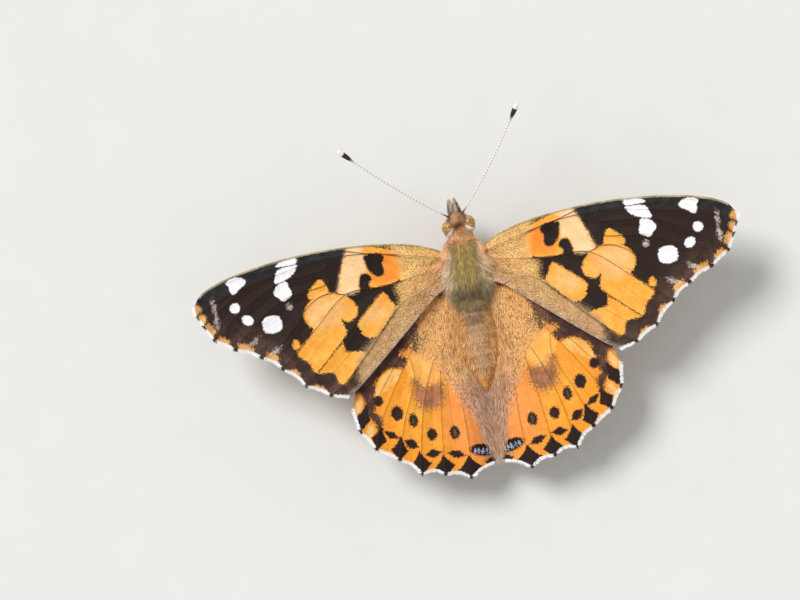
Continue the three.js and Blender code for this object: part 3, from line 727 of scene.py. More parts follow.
for side, hand in ((1, "right"), (-1, "left")):
    run = np.array(FEELER_TIPS[hand]) - SOCKET
    outward = np.array([run[1], -run[0], 0]) / math.hypot(run[0], run[1])
    line = [SOCKET + run * t + outward * FEELER_BOW * bend for t, bend in ((0, 0), (0.3, 1), (0.65, 1), (1, 0))]
    feeler = limb(
        f"feeler_{hand}", turned(np.array(line) * (side, 1, 1)),
        [(0, 0.1), (0.006, 0.17), (0.02, 0.19), (0.03, 0.1), (0.05, 0.1), (0.84, 0.095), (0.88, 0.15),
         (0.91, 0.26), (0.95, 0.31), (0.98, 0.28), (0.994, 0.17), (1, 0.0)],
        sides=16, rings=220,
    )
    keep_numbers(feeler.data, "share", share_of(feeler))
    feeler.data.materials.append(feeler_finish)
    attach(feeler, "root")
    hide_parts(f"antenna_{hand}")

# Hair of the head: a tuft on the brow that points forwards and up, a ruff on the neck, and the white rims
# behind the eyes.
brow_finish = coat_material("head hair", hairy=True)


def head_density(points):
    return np.where(points[:, 1] >= 2.0, 430.0, 0.0)


roots, upright = scatter(skin.data, head_density, seed=41)
rng = np.random.default_rng(42)
count = len(roots)
forward = between(roots[:, 1], 2.3, 3.2)[:, None]
lie = forward * np.array([0, 1, 0.35]) + (1 - forward) * np.array([0, -1, 0])
coat = hairs(
    "head_hair", roots, upright, lie, lengths=rng.uniform(0.35, 0.75, count),
    widths=rng.uniform(0.03, 0.05, count), stand=rng.uniform(0.3, 0.65, count), seed=43,
    unwrap=body_unwrap(roots), marks=body_marks(roots),
)
dress(coat, brow_finish)

# Tufts of black bristles stand beside the palps' roots, and white scales rim each eye behind.
rim_finish = bristle_material("white eye rim", (222, 204, 182), (255, 250, 244), 0.2, 0.9)
DOME_AXIS = np.array([0.6, 0.65, 0.3]) / np.linalg.norm([0.6, 0.65, 0.3])
for side, hand in ((1, "right"), (-1, "left")):
    rng = np.random.default_rng(44)
    count = 90
    along = rng.random((count, 1))
    roots = np.array([0.85, 1.7, 0.55]) * (1 - along) + np.array([0.5, 2.3, 0.2]) * along
    roots += rng.normal(size=(count, 3)) * 0.07
    tuft = hairs(f"brow_bristles_{hand}", turned(roots * (side, 1, 1)), np.tile([0.0, 0.0, 1.0], (count, 1)),
                 np.tile([-0.25 * side, 1.0, 0.2], (count, 1)), lengths=rng.uniform(0.5, 0.95, count),
                 widths=rng.uniform(0.03, 0.045, count), stand=rng.uniform(0.05, 0.3, count), seed=46,
                 unwrap=np.column_stack([0.1 + 0.8 * along[:, 0], 0.1 + 0.8 * rng.random(count)]), marks={}, sway=0.1)
    dress(tuft, palp_bristle["dark"])
    ball = rng.normal(size=(8000, 3))
    ball /= np.linalg.norm(ball, axis=1, keepdims=True)
    facing = ball @ DOME_AXIS
    ball = ball[(facing > -0.62) & (facing < -0.08) & (ball[:, 2] > -0.3)]
    count = len(ball)
    roots = turned((ball * EYE["radii"] * 1.02 + EYE["middle"]) * (side, 1, 1))
    upright = turned(ball * (side, 1, 1)) - HEAD_PLACE
    round_it = turned(np.cross(DOME_AXIS, ball) * (side, 1, 1)) - HEAD_PLACE
    rims = hairs(f"eye_rim_{hand}", roots, upright, round_it, lengths=rng.uniform(0.2, 0.36, count),
                 widths=rng.uniform(0.05, 0.08, count), stand=rng.uniform(0.08, 0.25, count), seed=45,
                 unwrap=0.5 + 0.45 * ball[:, :2], marks={})
    dress(rims, rim_finish)

# Legs: thin jointed tubes clothed in flat scales. The first pair is small and furry and is folded against
# the breast. The middle and the hind pair carry the body: thigh, shank with two spurs, five-jointed foot
# and two claws.
LEGS = {
    "mid": [(1.1, -0.9, 4.7), (5.0, -0.2, 5.7), (7.5, 0.3, 1.5), (8.4, 0.45, 0.18), (11.0, 0.9, 0.16)],
    "hind": [(1.0, -3.7, 4.8), (4.1, -7.4, 5.4), (5.9, -11.4, 1.6), (6.3, -12.4, 0.18), (7.4, -15.0, 0.16)],
}
FORELEG = [(0.8, 0.6, 4.9), (0.85, 1.9, 4.4), (0.8, 3.1, 4.2), (0.65, 4.2, 4.4)]
leg_finish, graph, surface = new_material("leg shell")
grain = graph.noise(graph.stretch(graph.place(), (1, 1, 0.5)), 0.12, 3)
colour = graph.blend(graph.noise(graph.place(), 1.2, 2), tone(196, 168, 126), tone(160, 130, 92))
graph.join(graph.shade(colour, graph.math("MULTIPLY_ADD", grain, 0.5, 0.75)), surface.inputs["Base Color"])
surface.inputs["Roughness"].default_value = 0.5
relief = graph.add("Bump", {"Strength": 0.5, "Distance": 0.02 * MM, "Height": grain})
graph.join(relief.outputs[0], surface.inputs["Normal"])
leg_scales = bristle_material("leg scales", (142, 112, 78), (222, 200, 164), 0.35)
claw_finish, graph, surface = new_material("claw horn")
colour = graph.blend(graph.noise(graph.place(), 0.2, 2), tone(44, 30, 22), tone(70, 48, 34))
graph.join(colour, surface.inputs["Base Color"])
surface.inputs["Roughness"].default_value = 0.35


def lengths_of(corners):
    steps = np.linalg.norm(np.diff(np.array(corners, float), axis=0), axis=1)
    return np.concatenate([[0], np.cumsum(steps)]) / steps.sum()


def bent(corners, sag=0.12):
    """A leg's middle line: nearly straight between its joints, and round only close to them."""
    corners = np.array(corners, float)
    line = [corners[0]]
    for a, b in zip(corners[:-1], corners[1:]):
        line += [a + (b - a) * sag, a + (b - a) * 0.5, b - (b - a) * sag]
    return np.array(line + [corners[-1]])


def leg_radii(corners):
    """Thick in the middle of thigh and shank, narrow at each joint, five beads along the foot."""
    hip, knee, ankle, heel, toe = lengths_of(corners)
    table = [(0, 0.2), (hip + 0.03, 0.3), (0.35 * knee, 0.36), (0.8 * knee, 0.26), (knee - 0.012, 0.2),
             (knee, 0.17), (knee + 0.015, 0.19), (knee + 0.4 * (ankle - knee), 0.235), (ankle - 0.02, 0.2),
             (ankle, 0.14)]
    for bead in range(5):
        start = ankle + (toe - ankle) * bead / 5
        step = (toe - ankle) / 5
        table += [(start + 0.12 * step, 0.11), (start + 0.8 * step, 0.15), (start + 0.98 * step, 0.12)]
    return table + [(1, 0.05)]


for side, hand in ((1, "right"), (-1, "left")):
    for pair, corners in LEGS.items():
        corners = np.array(corners) * (side, 1, 1)
        leg = limb(f"{pair}leg_{hand}", bent(corners), leg_radii(corners), sides=18, rings=150)
        dress(leg, leg_finish)
        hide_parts(*[f"{pair}leg_{part}_{hand}" for part in ("femur", "tibia", "tarsus")])
        path = smooth_path(bent(corners), 0.15)
        roots, upright = scatter(leg.data, lambda points: np.full(len(points), 130.0), seed=51)
        ahead, spread = along_lie(roots, path)
        rng = np.random.default_rng(52)
        count = len(roots)
        above = roots[:, 2] > 0.1
        coat = hairs(f"{pair}leg_scales_{hand}", roots[above], upright[above], ahead[above],
                     lengths=rng.uniform(0.15, 0.34, count)[above], widths=rng.uniform(0.05, 0.09, count)[above],
                     stand=rng.uniform(0.08, 0.3, count)[above], seed=53, unwrap=spread[above], marks={})
        dress(coat, leg_scales)
        knee, ankle, toe = corners[1], corners[2], corners[4]
        shank = (ankle - knee) / np.linalg.norm(ankle - knee)
        foot = (toe - corners[3]) / np.linalg.norm(toe - corners[3])
        aside = np.cross(foot, (0, 0, 1))
        horns = []
        for sway in (1, -1):
            at = ankle - shank * 0.25
            horns.append(limb(f"{pair}spur_{sway}", [at, at + shank * 0.35 + aside * sway * 0.15,
                                                      at + shank * 0.7 + aside * sway * 0.24],
                              [(0, 0.07), (0.5, 0.05), (1, 0.01)], sides=8, rings=8))
            at = toe - foot * 0.05
            horns.append(limb(f"{pair}claw_{sway}", [at, at + foot * 0.16 + aside * sway * 0.09 + (0, 0, 0.03),
                                                      at + foot * 0.26 + aside * sway * 0.14 - (0, 0, 0.09)],
                              [(0, 0.06), (0.5, 0.045), (1, 0.01)], sides=8, rings=8))
        deselect()
        for horn in horns:
            horn.select_set(True)
        bpy.context.view_layer.objects.active = horns[0]
        bpy.ops.object.join()
        claws = bpy.context.object
        claws.name = claws.data.name = f"{pair}leg_claws_{hand}"
        dress(claws, claw_finish)
    line = np.array(FORELEG) * (side, 1, 1)
    foreleg = limb(f"foreleg_core_{hand}", line, [(0, 0.15), (0.1, 0.22), (0.5, 0.2), (1, 0.1)],
                   sides=14, rings=30)
    dress(foreleg, leg_finish)
    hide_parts(f"foreleg_{hand}")
    roots, upright = scatter(foreleg.data, lambda points: np.full(len(points), 260.0), seed=55)
    ahead, spread = along_lie(roots, smooth_path(line, 0.1))
    rng = np.random.default_rng(56)
    count = len(roots)
    coat = hairs(f"foreleg_fur_{hand}", roots, upright, ahead, lengths=rng.uniform(0.3, 0.7, count),
                 widths=rng.uniform(0.03, 0.05, count), stand=rng.uniform(0.15, 0.45, count), seed=57,
                 unwrap=spread, marks={})
    dress(coat, leg_scales)

# Forewings: a stiff dry membrane on hollow veins, both faces tiled with scales like a slate roof.
# The leading edge is itself a vein, the outer margin is scalloped between the vein ends, and each wing
# is hinged under a shoulder lobe of the thorax.
def from_line(plan, path):
    """Distance of each plan point from a path."""
    best = np.full(len(plan), 1e9)
    for a, b in zip(path[:-1], path[1:]):
        run = b - a
        t = np.clip(((plan - a) @ run) / max(run @ run, 1e-12), 0, 1)
        best = np.minimum(best, np.linalg.norm(plan - a - t[:, None] * run, axis=1))
    return best


def into_patch(plan, corners, spacing=0.3):
    """Distance of each plan point inside a smooth closed outline, negative outside it."""
    path = smooth_path(corners, spacing, closed=True)
    within = np.zeros(len(plan), bool)
    for a, b in zip(path, np.roll(path, -1, axis=0)):
        crosses = (a[1] > plan[:, 1]) != (b[1] > plan[:, 1])
        rise = (b[1] - a[1]) or 1e-9
        within ^= crosses & (plan[:, 0] < (b[0] - a[0]) * (plan[:, 1] - a[1]) / rise + a[0])
    reach = from_line(plan, np.vstack([path, path[:1]]))
    return np.where(within, reach, -reach)


def into_marks(plan, patches=(), spots=()):
    """Distance into the nearest of several patches and spots."""
    depth = np.full(len(plan), -50.0)
    for corners in patches:
        depth = np.maximum(depth, into_patch(plan, corners))
    for spot in spots:
        depth = np.maximum(depth, into_spot(plan, spot))
    return depth


def scallops(ends, depths, spacing):
    """The outer margin: straight from one vein end to the next, hollowed by each depth."""
    points = [np.array(ends[0])]
    for a, b, depth in zip(np.array(ends[:-1]), np.array(ends[1:]), depths):
        inwards = np.array([b[1] - a[1], a[0] - b[0]]) / np.linalg.norm(b - a)
        steps = max(2, int(round(np.linalg.norm(b - a) / spacing)))
        for k in range(1, steps + 1):
            t = k / steps
            points.append(a + (b - a) * t + inwards * 4 * t * (1 - t) * depth)
    return np.array(points)


def wing_plan(shape, across, down):
    """A grid drawn in plan between leading edge, margin, hind edge and root, with its rows in mm."""
    deselect()
    bpy.ops.mesh.primitive_grid_add(x_subdivisions=across, y_subdivisions=down, size=1)
    grid = bpy.context.object
    flat = np.empty(len(grid.data.vertices) * 3, np.float32)
    grid.data.vertices.foreach_get("co", flat)
    u = flat[0::3].astype(float) + 0.5
    v = 0.5 - flat[1::3].astype(float)
    leading = smooth_path(shape["leading"], 0.2)
    hind = smooth_path(shape["hind"], 0.2)
    margin = scallops(shape["vein_ends"], shape["scallops"], 0.12)
    root = np.array([leading[0], hind[0]])
    top, low = along_path(leading, u), along_path(hind, u)
    start, end = along_path(root, v), along_path(margin, v)
    u, v = u[:, None], v[:, None]
    corners = (
        (1 - u) * (1 - v) * leading[0]
        + (1 - u) * v * hind[0]
        + u * (1 - v) * leading[-1]
        + u * v * hind[-1]
    )
    plan = (1 - v) * top + v * low + (1 - u) * start + u * end - corners
    rows = np.hstack([u * np.linalg.norm(plan - start, axis=1, keepdims=True) / np.maximum(u, 0.01),
                      v * np.linalg.norm(low - top, axis=1, keepdims=True)])
    return grid, plan, rows, margin


MEMBRANE = 0.09

forewing = {
    "leading": [(1.2, -0.6), (3.2, 0.75), (6.3, 1.85), (10.3, 2.5), (15, 2.8), (19.5, 2.7), (24, 2.2),
                (28, 1.35), (30.6, 0.25), (31.7, -1.1)],
    "vein_ends": [(31.7, -1.1), (31.5, -2.4), (30.95, -3.65), (30.1, -5.35), (27.9, -6.8), (25.1, -8.2),
                  (22.95, -9.9), (20.55, -12.35), (17.95, -13.9), (15.9, -14.35)],
    "scallops": [-0.15, 0.08, 0.12, 0.2, 0.32, 0.36, 0.34, 0.26, 0.05],
    "hind": [(1.2, -3.3), (2.6, -3.9), (4.4, -5.0), (7.3, -7.5), (11.3, -10.9), (14.6, -13.6), (15.9, -14.35)],
    "veins": [
        [(2.4, -0.5), (7, 0.7), (11, 1.55), (14.5, 2.6)],
        [(2.4, -0.7), (6.3, 0.3), (9.8, 1.3), (13.3, 1.75), (19.1, 1.75), (24, 1.55), (28.5, 0.9)],
        [(18.3, 1.6), (22.3, 0.85), (25.3, 0.2), (27.1, -0.8), (31.1, -3.5)],
        [(25.3, 0.25), (28.5, -0.7), (31.6, -2.2)],
        [(15.8, 1.5), (16.3, 0.6), (20.8, 0.1), (22.5, -0.3), (24.8, -1.5), (26.7, -2.7), (30.2, -5.3)],
        [(16.2, 0.5), (16.1, -1.1), (20.3, -1.7), (21.9, -2.2), (24.7, -3.9), (28.0, -6.8)],
        [(16.1, -1.1), (15.6, -2.2), (14.4, -2.7)],
        [(15.6, -2.2), (17.3, -2.45), (19, -3.5), (20.6, -5.2), (22.6, -7.0), (25.1, -8.2)],
        [(2.4, -1.4), (5.5, -1.9), (9.6, -2.5), (14.3, -2.7), (18.5, -6.1), (20.9, -8.2), (23.0, -10)],
        [(9.6, -2.5), (13.5, -6.0), (18.8, -10.8), (20.7, -12.4)],
        [(2.5, -2.2), (5.6, -3.9), (8.3, -5), (12.8, -9.7), (15.8, -12.5), (18.0, -14)],
    ],
    "folds": [[(17.6, -7.4), (21.6, -11.2)], [(14.8, -9.4), (19.4, -13.0)], [(17.2, -4.6), (23.9, -9.3)]],
}


def forewing_height(plan):
    x = plan[:, 0]
    return BODY_HEIGHT + 1.1 + 0.14 * (x - 2.5) - 0.0012 * np.maximum(0, x - 10) ** 2


CELL = [(5.3, 0.9), (6.9, 1.3), (9.2, 1.9), (10.8, 2.5), (12.9, 2.75), (13.5, 1.8), (14.2, 0.6), (14.6, -0.4),
        (14.8, -1.3), (15.15, -2.2), (14.5, -2.65), (12.8, -2.45), (9.7, -2.4), (7.8, -2.1), (5.3, -1.7)]
TOOTH = [(16.5, -0.8), (17.1, -0.45), (17.7, -1), (18.4, -1.6), (18.6, -2.2), (18.3, -2.6), (16.4, -2.3),
         (16.2, -1.9)]
BAND = [(14.3, -2.7), (15.3, -2.3), (16.5, -2.1), (17.9, -2.4), (18.9, -3.2), (19.4, -4), (19.4, -4.9),
        (19, -5.6), (18.6, -6.1), (20.6, -8), (20.9, -8.5), (20.5, -9.1), (19.8, -9.7), (19.4, -10.6),
        (18.9, -10.9), (15.5, -7.8), (14.9, -7), (15, -6.3), (15.3, -5.3), (14.9, -5.7), (14.2, -5.8),
        (13.4, -5.2), (13.2, -4.4), (13.5, -3.7), (14.2, -2.9)]
CORNER = [(20.4, -7.4), (20.9, -6.8), (21.3, -7.2), (21.2, -7.8), (20.8, -8)]
LOWER = [(13.2, -9.8), (14.3, -9.3), (15.3, -9.2), (15.5, -8.6), (15.8, -8.3), (18.7, -10.9), (18.3, -11.2),
         (17.3, -11.3), (16.9, -12), (16.8, -12.6), (16.3, -12.9), (15.8, -12.6), (14.5, -11.2)]
INNER = [(9.9, -3.2), (10.5, -3.4), (12.3, -5), (13.5, -6.2), (13.3, -6.9), (13.1, -7.6), (12.5, -8),
         (11.7, -8.1), (10.7, -7.3), (9.7, -6.2), (8.9, -5.1), (9.3, -4.2)]
BASE = [(-1.7, 1), (1.3, 1.6), (3.3, 2.6), (6.9, 2.9), (8.7, 2.6), (8.1, 1.3), (7.5, -0.5), (7.7, -2.2),
        (8.4, -2.9), (8.1, -4.2), (8.8, -5.3), (10.6, -7.6), (13.0, -10.1), (13.9, -11.6), (13.9, -12.6),
        (13.2, -13.3), (11.3, -13), (7.3, -9.4), (3.3, -7), (-1.7, -4)]
BAR = [(9.2, 0.85), (9.7, 1.45), (11.4, 1.4), (11.45, 0.6), (11.2, -0.3), (10.4, -1.2), (9.6, -1.2),
       (9.4, -0.6), (9.5, 0.1)]
PIN = [(11.1, -1.07), (11.75, -0.57), (12.4, -1.07), (12.5, -2.5), (11.4, -2.5), (11.4, -1.86), (11, -1.5)]
CREAM = [(11.5, 2.9), (13.1, 2.8), (13.6, 1.8), (14.5, -0.4), (15.1, -2.2), (14.5, -2.65), (12.8, -2.5),
         (12.4, -1), (11.6, -0.5), (11.4, 0.4), (11.6, 1.5)]
WHITE_BAR = [
    [(19.4, 2.75), (20.2, 2.65), (21.0, 2.4), (21.6, 2.05), (21.5, 1.8), (19.3, 1.85)],
    [(19.3, 1.75), (21.3, 1.6), (21.9, 0.8), (22.1, 0.1), (21.8, -0.1), (20.9, 0.15), (19.9, 0.7), (19.4, 1.3)],
    [(20.8, 0.05), (21.9, -0.3), (22.4, -0.95), (22.45, -1.3), (21.9, -1.75), (21.6, -2.2), (21.1, -2.05),
     (20.35, -1.55), (20.6, -0.7)],
    [(25.3, 0.8), (26.2, 1.45), (27.6, 1.15), (27.4, 0.5), (27.3, -0.2), (27.0, -0.5), (26.4, -0.1)],
]
WHITE_SPOTS = [(27.1, -2.0, 0.58, 0.6, 0), (25.9, -3.65, 0.7, 0.55, 35), (23.2, -4.6, 1.12, 1.0, 0, 2.8)]
GREY_MARKS = [(29.5, -1.4, 0.2, 0.6, 0), (29.4, -3.1, 0.24, 0.75, 5), (25.8, -6.4, 0.7, 0.2, -35),
              (23.4, -7.8, 0.75, 0.25, -35), (20.9, -2.9, 0.3, 0.35, 0)]
MARGIN_SPOTS = [(31.4, -1.4, 0.32, 0.45, 0), (31.0, -2.6, 0.35, 0.42, -20), (30.35, -4.0, 0.38, 0.62, -25),
                (29.1, -5.6, 0.62, 0.42, 35), (26.7, -6.75, 0.72, 0.36, 28), (23.8, -8.4, 0.62, 0.36, 38),
                (21.6, -10.7, 0.5, 0.4, 45), (19.1, -12.95, 0.6, 0.34, 35)]

# The two faces of a wing read these tables, layer over layer: mark, two tones of its scales, how
# softly it ends and how far single scales stray over the edge (in millimetres), and how dense it is.
FOREWING_UPPER = [
    # low: on the upper face a painted sheen, lighter brown over the black ground towards the tornus and the lower
    # outer margin
    ("low", (104, 78, 63), (76, 56, 46), 2.0, 0.6, 0.75),
    ("costal", (30, 33, 40), (48, 54, 58), 0.5, 0.5, 0.8),
    ("orange", (254, 182, 78), (252, 168, 62), 0.05, 0.14, 1),
    ("hot", (251, 148, 58), (247, 138, 50), 0.9, 0.3, 0.9),
    ("pale", (255, 198, 132), (253, 188, 116), 0.9, 0.2, 0.85),
    ("cream", (254, 214, 164), (252, 206, 150), 0.3, 0.2, 0.95),
    ("base", (246, 196, 120), (228, 174, 106), 0.5, 0.35, 1),
    ("strip", (212, 168, 118), (188, 147, 102), 0.6, 0.4, 0.85),
    ("flap", (216, 176, 152), (190, 150, 128), 0.2, 0.2, 0.75),
    ("flap_line", (96, 60, 44), (76, 48, 36), 0.05, 0.05, 0.9),
    ("hind_edge", (190, 166, 156), (156, 130, 122), 0.2, 0.25, 0.7),
    ("bar", (30, 22, 20), (42, 31, 26), 0.05, 0.12, 1),
    ("white", (255, 253, 253), (244, 242, 244), 0.05, 0.08, 1),
    ("grey", (226, 212, 204), (176, 158, 150), 0.08, 0.2, 0.75),
    ("margin_spot", (240, 182, 112), (214, 148, 82), 0.1, 0.15, 0.95),
    ("edge", (206, 186, 140), (160, 146, 108), 0.06, 0.04, 0.85),
]
FOREWING_UNDER = [
    ("low", (222, 196, 160), (180, 150, 112), 2.0, 0.8, 0.9),
    ("apex", (168, 138, 92), (196, 170, 122), 1.2, 1.2, 0.95),
    ("costal", (190, 168, 128), (150, 124, 84), 0.5, 0.5, 0.8),
    ("orange", (240, 148, 96), (228, 130, 84), 0.05, 0.14, 1),
    ("pale", (250, 176, 128), (244, 162, 108), 1.0, 0.3, 0.8),
    ("cream", (252, 214, 176), (248, 198, 152), 0.4, 0.25, 0.95),
    ("base", (238, 158, 116), (222, 140, 100), 0.7, 0.5, 1),
    ("bar", (40, 30, 28), (58, 44, 38), 0.05, 0.12, 1),
    ("white", (252, 250, 250), (238, 236, 240), 0.1, 0.12, 1),
    ("grey", (226, 214, 196), (204, 190, 170), 0.25, 0.2, 0.9),
    ("margin_spot", (226, 206, 168), (206, 180, 140), 0.12, 0.15, 0.9),
]


# The scales: one cell each, in rows along the wing. Scale is a number that differs from one scale to the
# next, Cloud drifts over many of them, and Height is the roof-tile relief.
graph, given, put_out = new_group("Wing scales", {"Length": 0.12, "Width": 0.075},
                                  ["Scale", "Cloud", "Height"])
shift = graph.add("CombineXYZ", {
    0: graph.math("DIVIDE", 1, given.outputs["Length"]),
    1: graph.math("DIVIDE", 1, given.outputs["Width"]),
    2: 0,
}).outputs[0]
cells = graph.add("TexVoronoi", {"Vector": graph.stretch(graph.mark("rows", "Vector"), shift), "Scale": 1,
                                 "Randomness": 0.75}, voronoi_dimensions="2D")
parts_of = graph.add("SeparateColor", {0: cells.outputs["Color"]})
graph.join(parts_of.outputs[0], put_out.inputs["Scale"])
graph.join(graph.noise(graph.place(), 1.1, 3), put_out.inputs["Cloud"])
graph.join(graph.math("SUBTRACT", 1, cells.outputs["Distance"]), put_out.inputs["Height"])


def wing_material(name, upper, under, ground, ground_under, veins, veins_under, speck):
    """Both faces of a wing in one material: layers, veins, fringe ground and scale relief."""
    material, graph, surface = new_material(name)
    scales = graph.add("Group")
    scales.node_tree = bpy.data.node_groups["Wing scales"]
    scales.inputs["Length"].default_value = 0.12
    scales.inputs["Width"].default_value = 0.075
    scale, cloud = scales.outputs["Scale"], scales.outputs["Cloud"]
    grain = graph.noise(graph.place(), 0.16, 2)
    faces = []
    for layers, earth, line in ((upper, ground, veins), (under, ground_under, veins_under)):
        colour = graph.blend(cloud, tone(*earth[0]), tone(*earth[1]))
        colour = paint_layers(graph, colour, layers, scale, cloud)
        within = graph.between(graph.mark("base"), -0.3, 0.9)
        dark = graph.math("MULTIPLY", graph.between(grain, 0.5, 0.58), within)
        colour = graph.blend(graph.math("MULTIPLY", dark, speck[1]), colour, tone(*speck[0]))
        light = graph.math("MULTIPLY", graph.between(grain, 0.36, 0.44, 1, 0), within)
        colour = graph.blend(graph.math("MULTIPLY", light, 0.35), colour, tone(255, 224, 160))
        vein = graph.between(graph.mark("vein"), 0.02, 0.09, line[1], 0)
        pale = graph.math("MAXIMUM", within, graph.between(graph.mark("white"), -0.1, 0.2))
        vein = graph.math("MULTIPLY", vein, graph.math("MULTIPLY_ADD", pale, -0.6, 1))
        # Thin darker lines along the folds: painted shade of creases that the membrane's shape doesn't have.
        fold = graph.between(graph.mark("fold_shade_line"), 0.02, 0.09, 0.4 * line[1], 0)
        colour = graph.blend(graph.math("MAXIMUM", vein, fold), colour, tone(*line[0]))
        faces.append(colour)
    colour = graph.blend(graph.mark("under"), faces[0], faces[1])
    strayed = graph.math("MULTIPLY_ADD", scale, 0.16, graph.mark("rim"))
    fringe = graph.between(graph.mark("vein_end"), 0.22, 0.4)
    fringe = graph.blend(fringe, tone(44, 32, 28), tone(252, 249, 246))
    colour = graph.blend(graph.between(strayed, 0.16, 0.26, 1, 0), colour, fringe)
    graph.join(graph.shade(colour, graph.math("MULTIPLY_ADD", scale, 0.24, 0.88)), surface.inputs["Base Color"])
    surface.inputs["Roughness"].default_value = 0.66
    surface.inputs["Specular IOR Level"].default_value = 0.16
    relief = graph.add("Bump", {"Strength": 0.5, "Distance": 0.02 * MM, "Height": scales.outputs["Height"]})
    graph.join(relief.outputs[0], surface.inputs["Normal"])
    return material


def wing_rise(plan, shape, height):
    """Height of a membrane's middle: its veins are raised and its cells hollow between them."""
    to_vein = np.min([from_line(plan, smooth_path(vein, 0.3)) for vein in shape["veins"]], axis=0)
    to_leading = from_line(plan, smooth_path(shape["leading"], 0.3))
    ridge = np.maximum(between(to_vein, 0.24, 0.02), 1.3 * between(to_leading, 0.3, 0.05))
    hollow = between(to_vein, 0.2, 1.3) * between(to_leading, 0.2, 1.3)
    ripple = 0.05 * np.sin(plan[:, 0] * 0.9 + plan[:, 1] * 0.5) * np.sin(plan[:, 1] * 0.7 - 1)
    return height(plan) - 0.2 + 0.08 * ridge - 0.14 * hollow + ripple


def wing_sheet(name, side, shape, height, marks, material, across, down):
    """A wing's membrane as a thin closed shell, with the marks of its pattern."""
    grid, plan, rows, margin = wing_plan(shape, across, down)
    grid.name = name
    grid.data.name = name
    points = np.column_stack([side * plan[:, 0], plan[:, 1], wing_rise(plan, shape, height)])
    put_points(grid.data, points)
    to_vein = np.min([from_line(plan, smooth_path(vein, 0.3)) for vein in shape["veins"]], axis=0)
    numbers = marks(plan, shape, margin, from_line(plan, smooth_path(shape["leading"], 0.3)))
    numbers["vein"] = to_vein
    # Distance from the fold lines, where the painted crease shade goes.
    numbers["fold_shade_line"] = np.min([from_line(plan, np.array(fold)) for fold in shape["folds"]], axis=0)
    numbers["rim"] = from_line(plan, margin)
    ends = np.array(shape["vein_ends"][1:-1])
    numbers["vein_end"] = np.min(np.linalg.norm(plan[:, None] - ends, axis=2), axis=1)
    numbers["rows"] = np.column_stack([rows, np.zeros(len(rows))])
    for label, values in numbers.items():
        keep_numbers(grid.data, label, values)
    deselect()
    grid.select_set(True)
    bpy.context.view_layer.objects.active = grid
    if side < 0:
        bpy.ops.object.mode_set(mode="EDIT")
        bpy.ops.mesh.select_all(action="SELECT")
        bpy.ops.mesh.flip_normals()
        bpy.ops.object.mode_set(mode="OBJECT")
    wall = grid.modifiers.new("thickness", "SOLIDIFY")
    wall.thickness = MEMBRANE * MM
    wall.offset = 0
    bpy.ops.object.modifier_apply(modifier=wall.name)
    bpy.ops.object.shade_smooth()
    normals = np.empty(len(grid.data.vertices) * 3, np.float32)
    grid.data.vertex_normals.foreach_get("vector", normals)
    below = (normals[2::3] < 0).astype(float)
    keep_numbers(grid.data, "under", below)
    points = read_points(grid.data)
    low, span = points.min(axis=0), np.ptp(points, axis=0)
    map_faces(grid.data, (points[:, :2] - low[:2]) / span[:2] * (0.96, 0.46) + 0.02)
    corner = np.empty(len(grid.data.loops), np.int32)
    grid.data.loops.foreach_get("vertex_index", corner)
    lower_face = below[corner].reshape(-1, 4).min(axis=1).repeat(4)
    flat = np.empty(len(corner) * 2, np.float32)
    grid.data.uv_layers["OFBake"].data.foreach_get("uv", flat)
    flat[1::2] += 0.5 * lower_face
    grid.data.uv_layers["OFBake"].data.foreach_set("uv", flat)
    grid.data.materials.append(material)
    return grid


FLAP = [(2.5, -2.6), (4.75, -4.35), (4.5, -4.6), (3.2, -4.9), (2.5, -4.2)]


def forewing_marks(plan, shape, margin, to_leading):
    x = plan[:, 0]
    hind = smooth_path(shape["hind"], 0.3)
    orange = into_marks(plan, [CELL, TOOTH, BAND, CORNER, LOWER, INNER])
    return {
        "orange": orange,
        "base": into_patch(plan, BASE),
        "bar": into_marks(plan, [BAR, PIN]),
        "cream": into_patch(plan, CREAM),
        "hot": np.minimum(3 * orange - 0.8, into_marks(plan, spots=[(9.2, -0.6, 1.9, 2.2, 0)])),
        "pale": np.minimum(3 * orange - 0.8, into_marks(plan, spots=[(17.2, -4.2, 2.6, 1.9, 0),
                                                                     (11.6, -5.4, 1.6, 1.2, 0)])),
        "white": into_marks(plan, WHITE_BAR, WHITE_SPOTS),
        "grey": into_marks(plan, spots=GREY_MARKS),
        "margin_spot": into_marks(plan, spots=MARGIN_SPOTS) + 0.1,
        # low: towards the tornus and the lower outer margin; the upper face paints a sheen there, the under face its
        # pale ground
        "low": into_marks(plan, spots=[(17.2, -13.8, 3.4, 2.2, -20), (24.5, -8.8, 5.5, 2.2, 38)]),
        "apex": into_marks(plan, spots=[(29.5, -1.5, 4.5, 4, 0)]),
        "costal": np.where(x > 13, 1.1 - to_leading, -5),
        "edge": np.where(x < 31, 0.2 - to_leading, -5),
        "strip": np.minimum(2.3 - from_line(plan, hind), 14.4 - x),
        "flap": into_patch(plan, FLAP),
        "flap_line": 0.07 - from_line(plan, smooth_path([(3.0, -4.85), (3.8, -4.8), (4.75, -4.4)], 0.1)),
        "hind_edge": np.where(x > 5, 0.35 - from_line(plan, hind), -5),
    }


coverings = {}
coverings["forewing"] = wing_material(
    "forewing scales", FOREWING_UPPER, FOREWING_UNDER,
    ground=((50, 35, 29), (38, 27, 23)), ground_under=((60, 46, 40), (78, 60, 50)),
    veins=((48, 29, 18), 0.85), veins_under=((206, 180, 140), 0.6), speck=((132, 96, 58), 0.6),
)
for side, hand in ((1, "right"), (-1, "left")):
    wing = wing_sheet(f"forewing_skin_{hand}", side, forewing, forewing_height, forewing_marks,
                      coverings["forewing"], across=230, down=170)
    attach(wing, "root")
    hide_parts(f"forewing_{hand}")

